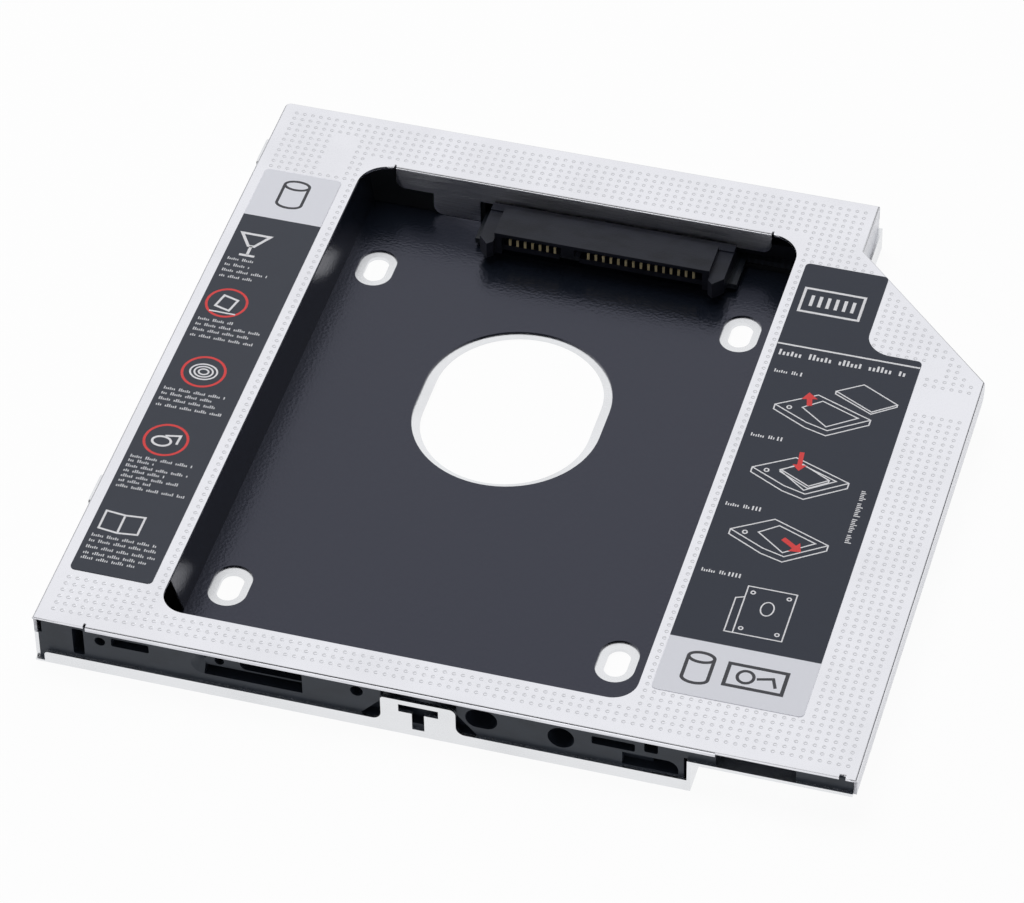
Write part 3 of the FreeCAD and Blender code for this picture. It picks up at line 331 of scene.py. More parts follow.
@dataclass(frozen=True)
class PressedSheet(SheetMetal):
    """Rolled sheet, darker in colour down its dimples' sides and fold tops as painted shade, with
    streaks on its folded flanges whose darker colour is painted reflection.
    """

    wall_top: Point = (0.0, 0.03)
    wall_foot: Point = (WALL_DEPTH - 0.005, WALL_DEPTH)
    # painted shade: how much darker the colour is down the dimples' sides and the fold tops
    wall_painted_shade: float = 0.24
    flange_top: Point = (0.3, 0.5)
    streak_width: float = 0.16
    streak_stretch: float = 0.02
    streak_edges: Point = (0.38, 0.62)
    # streaks of brushing on the flanges: their darker colour is painted reflection, their
    # roughness is real
    streak_painted_reflection_colour: Colour = (0.42, 0.43, 0.47)
    streak_painted_reflection_strength: float = 0.55
    streak_spread: float = 0.12
    flange_dullness: float = 0.04

    def dress(self, graph: Graph) -> dict[str, Wire]:
        """The rolled sheet with painted shade down the dimples' sides and fold tops, and flange
        streaks that roughen the sheet and darken its colour as painted reflection.
        """
        wires = super().dress(graph)
        depth = COVER_TOP - graph.along("Z")
        # painted shade mask: a band from 0.03 to 0.155 mm below the top, down each dimple's side
        # and each fold's top
        wall_shade_mask = depth.step(*self.wall_top) - depth.step(*self.wall_foot)
        flanges = depth.step(*self.flange_top)
        streaks = graph.noise(self.streak_width, 3.0, (self.streak_stretch, 1.0, 1.0))
        streaks = streaks.step(*self.streak_edges)
        # flange streaks pull the colour darker: painted reflection of the brushing
        streaked_with_painted_reflection = graph.blend(flanges * streaks * self.streak_painted_reflection_strength,
                              wires["Base Color"], self.streak_painted_reflection_colour)
        duller = streaks * self.streak_spread + self.flange_dullness
        # darken the colour in that band as painted shade
        wires["Base Color"] = graph.blend(wall_shade_mask, streaked_with_painted_reflection, self.tone(1.0 - self.wall_painted_shade))
        wires["Roughness"] = flanges * duller + wires["Roughness"]
        return wires


@dataclass(frozen=True)
class GrainedFilm(Finish):
    """Thin plastic film with a leather grain."""

    cell_size: float = 0.55
    cell_reach: float = 0.034
    cell_share: float = 0.7
    fine_size: float = 0.22
    fine_share: float = 0.5
    fine_spread: float = 0.10
    wave_size: float = 22.0
    wave_spread: float = 0.06
    dust_size: float = 0.35
    dust_edges: Point = (0.72, 0.8)
    dust_colour: Colour = (0.22, 0.22, 0.25)
    dust_strength: float = 0.10

    def dress(self, graph: Graph) -> dict[str, Wire]:
        """Rounded cells in the normal, faint wear and dust in colour and roughness."""
        cells = graph.cells(self.cell_size)
        fine = graph.noise(self.fine_size, 3.0)
        waves = graph.noise(self.wave_size, 1.0)
        dust = graph.noise(self.dust_size, 4.0).step(*self.dust_edges)
        return {
            "Base Color": graph.blend(dust * self.dust_strength, self.colour, self.dust_colour),
            "Roughness": self.rough(fine * self.fine_spread + waves * self.wave_spread,
                                    self.fine_spread + self.wave_spread),
            "Normal": graph.bump(cells * self.cell_share + fine * self.fine_share,
                                 self.cell_reach),
        }


@dataclass(frozen=True)
class Moulded(Finish):
    """Moulded plastic with a spark-eroded texture."""

    texture_size: float = 0.16
    texture_reach: float = 0.008
    texture_spread: float = 0.12
    flow_size: float = 2.6
    flow_stretch: float = 0.5
    flow_edges: Point = (0.35, 0.7)
    flow_spread: float = 0.08
    mottle: float = 0.25

    def dress(self, graph: Graph) -> dict[str, Wire]:
        """Texture in the normal, flow marks in colour and roughness."""
        texture = graph.noise(self.texture_size, 4.0)
        flow = graph.noise(self.flow_size, 3.0, (self.flow_stretch, 1.0, 1.0))
        return {
            "Base Color": self.tinted(graph, flow.step(*self.flow_edges), self.mottle),
            "Roughness": self.rough(texture * self.texture_spread + flow * self.flow_spread,
                                    self.texture_spread + self.flow_spread),
            "Normal": graph.bump(texture, self.texture_reach),
        }


@dataclass(frozen=True)
class Plated(Finish):
    """Plated metal with faint tarnish."""

    tarnish: float = 0.22
    cloud_size: float = 0.8
    cloud_edges: Point = (0.4, 0.75)
    cloud_spread: float = 0.12
    mark_width: float = 0.06
    mark_stretch: float = 0.2
    mark_reach: float = 0.002

    def dress(self, graph: Graph) -> dict[str, Wire]:
        """Tarnish clouds in colour and roughness, tool marks in the normal."""
        clouds = graph.noise(self.cloud_size, 3.0)
        marks = graph.noise(self.mark_width, 2.0, (1.0, self.mark_stretch, 1.0))
        return {
            "Base Color": self.tinted(graph, clouds.step(*self.cloud_edges), self.tarnish),
            "Roughness": self.rough(clouds * self.cloud_spread, self.cloud_spread),
            "Normal": graph.bump(marks, self.mark_reach),
        }


@dataclass(frozen=True)
class SolderMask(Finish):
    """Board coating with copper tracks standing a little proud under it."""

    track_pitch: float = 1.1
    track_bend: float = 1.2
    track_edges: Point = (0.55, 0.7)
    track_tone: float = 1.7
    track_reach: float = 0.02
    scale_per_pitch: float = 0.314

    def dress(self, graph: Graph) -> dict[str, Wire]:
        """Tracks in colour and normal."""
        waves = graph.node(
            "ShaderNodeTexWave",
            {"wave_type": "BANDS", "bands_direction": "X"},
            {"Vector": graph.position(), "Scale": self.scale_per_pitch / self.track_pitch,
             "Distortion": self.track_bend, "Detail": 0.0},
            "Fac",
        )
        tracks = waves.step(*self.track_edges)
        return {
            "Base Color": graph.blend(tracks, self.colour, self.tone(self.track_tone)),
            "Normal": graph.bump(tracks, self.track_reach),
        }


@dataclass(frozen=True)
class LabelFilm(Finish):
    """Printed label film: a dark field with a pale field at one end."""

    pale: Colour = (0.78, 0.79, 0.85)
    pale_from: float = 0.0
    pale_to: float = 0.0
    soft_edge: float = 0.04
    mottle_size: float = 3.0
    mottle_strength: float = 0.14
    peel_size: float = 0.6
    peel_spread: float = 0.08
    peel_reach: float = 0.006

    def dress(self, graph: Graph) -> dict[str, Wire]:
        """The two fields by place along the label, and the film's fine orange peel."""
        along = graph.along("Y")
        low, high = (
            along.step(edge - HALF_DEPTH - self.soft_edge, edge - HALF_DEPTH + self.soft_edge)
            for edge in (self.pale_from, self.pale_to)
        )
        peel = graph.noise(self.peel_size)
        mottle = graph.noise(self.mottle_size, 3.0)
        dark = self.tinted(graph, mottle, self.mottle_strength)
        return {
            "Base Color": graph.blend(low - high, dark, self.pale),
            "Roughness": self.rough(peel * self.peel_spread, self.peel_spread),
            "Normal": graph.bump(peel, self.peel_reach),
        }


@dataclass(frozen=True)
class Ink(Finish):
    """Printing ink, slightly uneven."""

    patch_size: float = 0.35
    patch_edges: Point = (0.35, 0.8)
    patch_strength: float = 0.14

    def dress(self, graph: Graph) -> dict[str, Wire]:
        """Unevenness in the colour."""
        patches = graph.noise(self.patch_size).step(*self.patch_edges)
        return {"Base Color": self.tinted(graph, patches, self.patch_strength)}


COVER_METAL = PressedSheet("cover_satin_sheet", (0.81, 0.815, 0.86), 0.25, 1.0,
                           grain_reach=0.0006)
TRAY_METAL = SheetMetal("tray_rolled_sheet", (0.80, 0.81, 0.83), 0.26, 1.0,
                        cloud_strength=0.08)
FILM = GrainedFilm("grained_black_film", (0.006, 0.008, 0.013), 0.22, specular=0.70,
                   mirror_tint=(0.74, 0.76, 1.0))
BLACK_PLASTIC = Moulded("front_bar_plastic", (0.018, 0.023, 0.034), 0.42, specular=0.42,
                        mirror_tint=(0.90, 0.95, 1.0))
INNER_PLASTIC = Moulded("inner_bar_plastic", (0.007, 0.008, 0.010), 0.45, specular=0.22)
SOCKET_PLASTIC = Moulded("socket_moulding", (0.010, 0.011, 0.017), 0.38, specular=0.26,
                         mirror_tint=(0.86, 0.90, 1.0), texture_size=0.3,
                         texture_reach=0.022, mottle=0.5)
GOLD = Plated("gold_flash", (0.92, 0.78, 0.46), 0.44, 1.0)
PEG = Plated("tinned_peg", (0.68, 0.68, 0.67), 0.32, 1.0)
SCREW = Plated("zinc_screw", (0.62, 0.62, 0.63), 0.30, 1.0)
BOARD = SolderMask("black_solder_mask", (0.010, 0.012, 0.016), 0.30)
CERAMIC = Moulded("capacitor_ceramic", (0.34, 0.24, 0.15), 0.40, texture_size=0.1)


def dress_node(node: str, finish: Finish) -> None:
    """Give a node of the frame one finish all over.

    Args:
        node: The node's name.
        finish: Its finish.
    """
    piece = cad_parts[node]
    piece.data.materials.clear()
    piece.data.materials.append(finish.material())
    log.info("dressed %s in %s", node, finish.name)


def stand(name: str, data: bpy.types.ID) -> bpy.types.Object:
    """Put an object that holds that data in the scene."""
    made = bpy.data.objects.new(name, data)
    bpy.context.scene.collection.objects.link(made)
    return made


def new_piece(name: str, mesh: bpy.types.Mesh, slot: str, *stands_for: str) -> bpy.types.Object:
    """Put a mesh in the scene as a piece that rides on the caddy.

    Args:
        name: The piece's name.
        mesh: Its mesh, in metres.
        slot: The record's material slot; not used.
        stands_for: Nodes of the frame that it replaces.

    Returns:
        The piece.
    """
    piece = stand(name, mesh)
    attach(piece, BODY)
    if stands_for:
        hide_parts(*stands_for)
    log.info("built %s with %d faces", name, len(mesh.polygons))
    return piece


def even_out(piece: bpy.types.Object) -> None:
    """Turn a piece's corner normals toward its broad faces, so that flat sheet looks flat."""
    weighted = piece.modifiers.new("broad_faces_first", "WEIGHTED_NORMAL")
    weighted.mode = "FACE_AREA"
    weighted.weight = 100
    weighted.keep_sharp = True
    seen = piece.evaluated_get(bpy.context.evaluated_depsgraph_get())
    flat = bpy.data.meshes.new_from_object(seen)
    piece.modifiers.clear()
    piece.data = flat


@dataclass(frozen=True)
class Patch:
    """A rectangle on the cover, in millimetres."""

    left: float
    front: float
    right: float
    rear: float

    def holds(self, x: float, y: float, margin: float = 0.0) -> bool:
        """Whether a place lies inside the rectangle grown by a margin."""
        across = self.left - margin < x < self.right + margin
        return across and self.front - margin < y < self.rear + margin


@dataclass
class Cover:
    """Folded cover whose top face carries a lattice of pressed dimples."""

    node: str = "top_cover"
    first_column: float = -62.5
    last_column: float = 62.2
    column_pitch: float = 1.416
    first_row: float = 2.7
    last_row: float = 125.4
    row_pitch: float = 1.408
    rim_radius: float = 0.36
    wall_radius: float = 0.20
    dimple_depth: float = 0.17
    sides: int = 12
    edge_margin: float = 0.12
    patch_margin: float = 0.35
    level_normal: float = 0.99
    fold_angle: float = 38.0
    fill_gap: float = 1e-5
    window: Patch = Patch(-46.05, 6.85, 28.3, 114.6)
    plain_patches: tuple[Patch, ...] = (
        Patch(-61.6, 11.4, -48.4, 108.7),
        Patch(30.2, 10.4, 53.5, 90.8),
        Patch(30.2, 90.8, 43.9, 109.1),
        Patch(54.5, 88.0, 57.5, 92.0),
        Patch(54.0, 80.0, 64.0, 85.0),
        Patch(-53.0, 111.0, -49.0, 120.0),
    )

    def build(self) -> None:
        """Replace the plain cover by one with dimples."""
        work = bmesh.new()
        work.from_mesh(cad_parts[self.node].data)
        bmesh.ops.remove_doubles(work, verts=work.verts, dist=SAME_SPOT)
        top = [face for face in work.faces if self._is_top(face)]
        bmesh.ops.delete(work, geom=top, context="FACES")
        for face in work.faces:
            face.smooth = True
        rim = [edge for edge in work.edges if edge.is_boundary]
        self._fill(work, rim)
        bmesh.ops.remove_doubles(work, verts=work.verts, dist=SAME_SPOT)
        bmesh.ops.recalc_face_normals(work, faces=work.faces)
        mesh = bpy.data.meshes.new("dimpled_cover")
        work.to_mesh(mesh)
        work.free()
        mesh.set_sharp_from_angle(angle=math.radians(self.fold_angle))
        mesh.materials.append(COVER_METAL.material())
        even_out(new_piece("dimpled_cover", mesh, "cover_metal", self.node))

    def _is_top(self, face: bmesh.types.BMFace) -> bool:
        """Whether a face lies on the cover's top plane."""
        level = all(abs(vert.co.z - COVER_TOP * MM) < SAME_SPOT for vert in face.verts)
        return level and face.normal.z > self.level_normal

    def _cells(self, inside: "Region") -> Iterator[Pair]:
        """Column and row of each lattice cell that gets a dimple."""
        columns = round((self.last_column - self.first_column) / self.column_pitch) + 1
        rows = round((self.last_row - self.first_row) / self.row_pitch) + 1
        half = (self.column_pitch / 2 + self.edge_margin, self.row_pitch / 2 + self.edge_margin)
        for cell in product(range(columns), range(rows)):
            x, y = self._middle(*cell)
            if any(patch.holds(x, y, self.patch_margin) for patch in self.plain_patches):
                continue
            if self.window.holds(x, y, half[0]):
                continue
            corners = [(x + i * half[0], y + j * half[1]) for i in (-1, 1) for j in (-1, 1)]
            if all(inside.holds(*corner) for corner in corners):
                yield cell

    def _fill(self, work: bmesh.types.BMesh, rim: list[bmesh.types.BMEdge]) -> None:
        """Fill the open top with dimpled cells and flat metal between them.

        Args:
            work: The cover without its top face.
            rim: The open edges round the missing face.
        """
        region = Region.from_edges(rim)
        cells = set(self._cells(region))
        corners: dict[Pair, int] = {}
        points = [Vector(point) for point in region.points]
        edges = list(region.edges)
        for column, row in sorted(cells):
            square = [(column, row), (column + 1, row), (column + 1, row + 1), (column, row + 1)]
            beside = [(column, row - 1), (column + 1, row), (column, row + 1), (column - 1, row)]
            for index, neighbour in enumerate(beside):
                if neighbour in cells:
                    continue
                ends = []
                for corner in (square[index], square[(index + 1) % 4]):
                    if corner not in corners:
                        corners[corner] = len(points)
                        points.append(Vector(self._corner(*corner)))
                    ends.append(corners[corner])
                edges.append(tuple(ends))
        made = delaunay_2d_cdt(points, edges, [], 0, self.fill_gap)
        flat = [work.verts.new(place(point.x, point.y, COVER_TOP)) for point in made[0]]
        for triangle in made[2]:
            x = sum(made[0][index].x for index in triangle) / len(triangle)
            y = sum(made[0][index].y for index in triangle) / len(triangle)
            if region.holds(x, y) and self._cell_at(x, y) not in cells:
                work.faces.new([flat[index] for index in triangle])
        grid: dict[Pair, bmesh.types.BMVert] = {}
        for cell in sorted(cells):
            self._dimple(work, cell, grid)
        log.info("pressed %d dimples", len(cells))

    def _middle(self, column: float, row: float) -> Point:
        """Middle of a lattice cell."""
        return (self.first_column + column * self.column_pitch,
                self.first_row + row * self.row_pitch)

    def _corner(self, column: int, row: int) -> Point:
        """Front left corner of a lattice cell."""
        return self._middle(column - 0.5, row - 0.5)

    def _cell_at(self, x: float, y: float) -> Pair:
        """The lattice cell that a place lies in."""
        return (math.floor((x - self.first_column) / self.column_pitch + 0.5),
                math.floor((y - self.first_row) / self.row_pitch + 0.5))

    def _dimple(self, work: bmesh.types.BMesh, cell: Pair,
                grid: dict[Pair, bmesh.types.BMVert]) -> None:
        """Add one cell: a flat square with a round dimple in it.

        Args:
            work: Mesh that the cell goes to.
            cell: The cell's column and row.
            grid: Corner vertices that neighbouring cells share.
        """
        column, row = cell
        middle = self._middle(column, row)
        quarter = self.sides // 4
        square = []
        for corner in ((column + 1, row + 1), (column, row + 1), (column, row), (column + 1, row)):
            if corner not in grid:
                grid[corner] = work.verts.new(place(*self._corner(*corner), COVER_TOP))
            square.append(grid[corner])
        rings = [
            [work.verts.new(place(middle[0] + radius * math.cos(turn),
                                  middle[1] + radius * math.sin(turn), COVER_TOP - depth))
             for turn in (math.tau * (index + 0.5) / self.sides for index in range(self.sides))]
            for radius, depth in ((self.rim_radius, 0.0), (self.wall_radius, WALL_DEPTH))
        ]
        centre = work.verts.new(place(*middle, COVER_TOP - self.dimple_depth))
        rim, wall = rings
        for index in range(self.sides):
            after = (index + 1) % self.sides
            corner = square[after // quarter % 4]
            work.faces.new((rim[index], corner, rim[after]))
            work.faces.new((rim[index], rim[after], wall[after], wall[index]))
            work.faces.new((wall[index], wall[after], centre))
        for side in range(4):
            last = rim[(side * quarter + quarter - 1) % self.sides]
            work.faces.new((square[side], square[(side + 1) % 4], last))


@dataclass
class Region:
    """A flat area with holes: the points of its boundary and the edges between them."""

    points: list[Point]
    edges: list[Pair]

    @classmethod
    def from_edges(cls, rim: Iterable[bmesh.types.BMEdge]) -> "Region":
        """Read the boundary from open edges of a mesh.

        Args:
            rim: The open edges, all at one height.

        Returns:
            The region in millimetres.
        """
        known: dict[bmesh.types.BMVert, int] = {}
        points: list[Point] = []
        edges: list[Pair] = []
        for edge in rim:
            for vert in edge.verts:
                if vert not in known:
                    known[vert] = len(points)
                    points.append((vert.co.x / MM, vert.co.y / MM + HALF_DEPTH))
            edges.append((known[edge.verts[0]], known[edge.verts[1]]))
        return cls(points, edges)

    def holds(self, x: float, y: float) -> bool:
        """Whether a place is inside, by counting boundary crossings on one side of it."""
        inside = False
        for start, end in self.edges:
            (x0, y0), (x1, y1) = self.points[start], self.points[end]
            if (y0 > y) != (y1 > y) and x < x0 + (y - y0) * (x1 - x0) / (y1 - y0):
                inside = not inside
        return inside


class Shade(Enum):
    """Inks of the labels' print, in the order of their mesh slots."""

    WHITE = Ink("pale_ink", (0.80, 0.80, 0.83), 0.42)
    RED = Ink("red_ink", (0.72, 0.045, 0.045), 0.42)
    DARK = Ink("dark_ink", (0.030, 0.031, 0.040), 0.42)
    GREY = Ink("grey_ink", (0.72, 0.73, 0.76), 0.42)


@dataclass
class Press:
    """Prints flat closed shapes on a label, each ink as one slot of a mesh.

    Sizes of ticks are shares of their row's height, and those of an arrow's head, apart from
    its blunt tip, are shares of the shaft's width.
    """

    lowest_top: float = 9.4893
    layer_rise: float = 0.0003
    mitre_limit: float = 0.4
    drum_squash: float = 0.5
    drum_sides: int = 16
    head_length: float = 1.8
    head_half: float = 1.5
    tip_half: float = 0.02
    tick_heights: Numbers = (1.0, 0.62, 0.62, 0.85, 0.62, 0.62, 1.0)
    tick_width: float = 0.27
    tick_pitch: float = 0.5
    group_pitch: float = 1.25
    group_ticks: int = 6
    row_shift: int = 3
    ink: Shade = Shade.WHITE
    layer: int = 0
    work: bmesh.types.BMesh = field(default_factory=bmesh.new)

    def ribbon(self, inner: Sequence[Point], outer: Sequence[Point], closed: bool) -> None:
        """Print the strip between two lines of points.

        Args:
            inner: Points of one side.
            outer: As many points of the other side.
            closed: Whether the strip joins its own start.
        """
        top = self.lowest_top + self.layer * self.layer_rise
        rows = [
            [self.work.verts.new(place(x, y, level)) for x, y in line]
            for line, level in ((inner, LABEL_TOP), (inner, top), (outer, top),
                                (outer, LABEL_TOP))
        ]
        count = len(inner)
        for index in range(count if closed else count - 1):
            after = (index + 1) % count
            for side in range(4):
                near, far = rows[side], rows[(side + 1) % 4]
                self._face(near[index], near[after], far[after], far[index])
        if not closed:
            for index in (0, count - 1):
                self._face(*[row[index] for row in rows])

    def _face(self, *verts: bmesh.types.BMVert) -> None:
        """Add one face in the current ink."""
        self.work.faces.new(verts).material_index = list(Shade).index(self.ink)

    def line(self, points: Sequence[Point], width: float, closed: bool = False) -> None:
        """Print a line of one width with mitred corners, on top of what it crosses.

        Args:
            points: Places that it runs through.
            width: Its width.
            closed: Whether it returns to its start.
        """
        self.layer += 1
        spots = [Vector(point) for point in points]
        count = len(spots)
        sides: tuple[list[Point], list[Point]] = ([], [])
        for index, spot in enumerate(spots):
            before = spot - spots[index - 1] if closed or index else None
            after = spots[(index + 1) % count] - spot if closed or index < count - 1 else None
            turns = [Vector((-run.y, run.x)).normalized() for run in (before, after)
                     if run is not None]
            mitre = sum(turns, Vector((0.0, 0.0))).normalized()
            reach = width / 2 / max(mitre.dot(turns[0]), self.mitre_limit)
            sides[0].append(tuple(spot + mitre * reach))
            sides[1].append(tuple(spot - mitre * reach))
        self.ribbon(*sides, closed)

    def block(self, left: float, front: float, right: float, rear: float) -> None:
        """Print a filled rectangle."""
        self.ribbon([(left, front), (right, front)], [(left, rear), (right, rear)], False)

    def row(self, block: Sequence[float], count: int, pitch: float) -> None:
        """Print a filled rectangle again and again, a pitch apart across the bay."""
        left, front, right, rear = block
        for step in range(count):
            self.block(left + step * pitch, front, right + step * pitch, rear)

    def outline(self, left: float, front: float, right: float, rear: float,
                width: float) -> None:
        """Print the outline of a rectangle, in lines of that width."""
        self.line([(left, front), (right, front), (right, rear), (left, rear)], width, True)

    def ring(self, x: float, y: float, radius: float, width: float, squash: float = 1.0,
             sides: int = 40) -> None:
        """Print a ring.

        Args:
            x: Its middle across the bay.
            y: Its middle behind the front face.
            radius: Radius of the line's middle.
            width: Width of the line.
            squash: Length along Y as a share of that along X.
            sides: Straight runs in it.
        """
        turns = [math.tau * step / sides for step in range(sides)]
        self.line([(x + radius * math.cos(turn), y + radius * squash * math.sin(turn))
                   for turn in turns], width, True)

    def drum(self, x: float, y: float, radius: float, height: float, width: float) -> None:
        """Print a plain upright drum: a top ellipse, two sides and a round foot.

        Args:
            x: Its middle across the bay.
            y: Its middle behind the front face.
            radius: Half its width.
            height: Height between the middles of its ends.
            width: Width of the line.
        """
        top, foot = y + height / 2, y - height / 2
        self.ring(x, top, radius, width, self.drum_squash)
        steps = [math.pi + math.pi * step / self.drum_sides
                 for step in range(self.drum_sides + 1)]
        curve = [(x + radius * math.cos(turn), foot + radius * self.drum_squash * math.sin(turn))
                 for turn in steps]
        self.line([(x - radius, top), *curve, (x + radius, top)], width)

    def arrow(self, tail: Point, head: Point, width: float) -> None:
        """Print a straight arrow.

        Args:
            tail: Where it starts.
            head: Its tip.
            width: Width of its shaft; the head is three times as wide.
        """
        self.layer += 1
        start, tip = Vector(tail), Vector(head)
        run = (tip - start).normalized()
        side = Vector((-run.y, run.x))
        neck = tip - run * width * self.head_length
        self.ribbon([tuple(start + side * width / 2), tuple(neck + side * width / 2)],
                    [tuple(start - side * width / 2), tuple(neck - side * width / 2)], False)
        wing, point = side * width * self.head_half, side * self.tip_half
        self.ribbon([tuple(neck + wing), tuple(tip + point)],
                    [tuple(neck - wing), tuple(tip - point)], False)

    def rules(self, left: float, ends: Sequence[Point], height: float) -> None:
        """Print rows of fine upright ticks in place of lines of print.

        Args:
            left: Where every row starts.
            ends: Right end of each row, and its middle behind the front face.
            height: How tall the tallest tick is.
        """
        for number, (right, y) in enumerate(ends):
            spot, tick, foot = left, number * self.row_shift, y - height / 2
            while spot < right:
                tall = self.tick_heights[tick % len(self.tick_heights)]
                self.block(spot, foot, spot + height * self.tick_width, foot + height * tall)
                tick += 1
                pitch = self.tick_pitch if tick % self.group_ticks else self.group_pitch
                spot += height * pitch

    def mesh(self, name: str) -> bpy.types.Mesh:
        """The printed shapes as a mesh with one slot an ink."""
        bmesh.ops.recalc_face_normals(self.work, faces=self.work.faces)
        mesh = bpy.data.meshes.new(name)
        self.work.to_mesh(mesh)
        self.work.free()
        for ink in Shade:
            mesh.materials.append(ink.value.material())
        return mesh


def shifted(points: Iterable[Point], x: float, y: float) -> list[Point]:
    """Points moved by a distance across the bay and one behind the front face."""
    return [(x + dx, y + dy) for dx, dy in points]


@dataclass
class Label:
    """A stuck-on label: its film and the print on it.

    Blocks and frames are given as left, front, right and rear, rings as their middle and
    radius, and drums as their middle, half width and height.
    """

    node: str
    film: LabelFilm
    film_middle: float = 9.45

    def build(self) -> None:
        """Build the film in the node's place, and the print on top of it."""
        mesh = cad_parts[self.node].data.copy()
        mesh.name = self.node + "_film"
        for vert in mesh.vertices:
            if vert.co.z > self.film_middle * MM:
                vert.co.z = LABEL_TOP * MM
        mesh.materials.clear()
        mesh.materials.append(self.film.material())
        new_piece(mesh.name, mesh, "label_print", self.node)
        press = Press()
        self.print(press)
        name = self.node + "_printing"
        new_piece(name, press.mesh(name), "label_print")

    def print(self, press: Press) -> None:
        """Print the label's shapes; a plain label has none."""


@dataclass
class LeftLabel(Label):
    """Narrow label with rings, outline shapes and blocks of rules."""

    node: str = "left_label"
    film: LabelFilm = LabelFilm("left_label_film", (0.020, 0.023, 0.035), 0.40,
                                mirror_tint=(0.86, 0.92, 1.0), pale_from=96.9, pale_to=120.0)
    bold_line: float = 0.5
    ring_line: float = 0.42
    shape_line: float = 0.4
    folder_line: float = 0.36
    thin_line: float = 0.3
    rule_left: float = -60.7
    rule_height: float = 0.66
    drum: Numbers = (-55.2, 103.4, 2.1, 4.6)
    rings: tuple[Numbers, ...] = (
        (-57.4, 75.2, 3.3), (-55.8, 58.7, 3.45), (-56.5, 42.2, 3.45),
    )
    blocks: tuple[Points, ...] = (
        ((-56.5, 85.8), (-56.5, 84.3), (-53.1, 82.9), (-55.1, 81.5)),
        ((-54.8, 70.7), (-49.7, 69.4), (-51.5, 68.1), (-50.2, 66.7)),
        ((-50.7, 53.7), (-52.0, 52.5), (-51.5, 51.2), (-49.4, 49.8)),
        ((-50.7, 37.5), (-56.5, 36.5), (-50.7, 35.3), (-54.1, 34.2), (-51.2, 33.0),
         (-55.7, 31.9), (-49.6, 30.7)),
        ((-50.2, 19.3), (-49.6, 18.1), (-49.5, 16.7), (-50.6, 15.4), (-52.0, 14.3)),
    )
    funnel: Points = ((-60.3, 92.3), (-55.5, 92.3), (-57.4, 89.4), (-58.4, 89.4))
    funnel_stem: Numbers = (-58.15, 87.2, -57.65, 89.4)
    funnel_foot: Numbers = (-59.2, 86.8, -56.6, 87.3)
    tile: Points = ((-1.6, -1.0), (0.9, -1.7), (1.6, 1.0), (-0.9, 1.7))
    tile_foot: Points = ((-2.2, -2.5), (2.2, -2.2))
    rounds: Numbers = (0.8, 1.5, 2.2)
    round_squash: float = 0.8
    loop_ring: Numbers = (-0.6, -0.4, 1.5)
    loop_squash: float = 0.7
    loop_tail: Points = ((-0.4, 0.9), (2.0, 1.4), (1.9, -0.6))
    folder: Points = (
        (-57.05, 20.5), (-60.2, 20.9), (-60.2, 24.8), (-57.05, 24.5), (-53.9, 24.8), (-53.9, 20.9),
    )
    folder_spine: Points = ((-57.05, 20.7), (-57.05, 24.3))

    def print(self, press: Press) -> None:
        """Print drum, rings, outlines and rules."""
        press.ink = Shade.DARK
        press.drum(*self.drum, self.bold_line)
        press.ink = Shade.RED
        for x, y, radius in self.rings:
            press.ring(x, y, radius, self.ring_line)
        press.ink = Shade.WHITE
        self._outlines(press)
        press.ink = Shade.GREY
        for block in self.blocks:
            press.rules(self.rule_left, block, self.rule_height)

    def _outlines(self, press: Press) -> None:
        """Plain outline shapes: a funnel, a box, a round, a loop and a folder."""
        press.line(self.funnel, self.bold_line, True)
        press.block(*self.funnel_stem)
        press.block(*self.funnel_foot)
        (ax, ay, _), (bx, by, _), (cx, cy, _) = self.rings
        press.line(shifted(self.tile, ax, ay), self.shape_line, True)
        near, far = shifted(self.tile_foot, ax, ay)
        press.block(*near, *far)
        for radius in self.rounds:
            press.ring(bx, by, radius, self.thin_line, self.round_squash)
        dx, dy, radius = self.loop_ring
        press.ring(cx + dx, cy + dy, radius, self.shape_line, self.loop_squash)
        press.line(shifted(self.loop_tail, cx, cy), self.shape_line)
        press.line(self.folder, self.folder_line, True)
        press.line(self.folder_spine, self.folder_line)


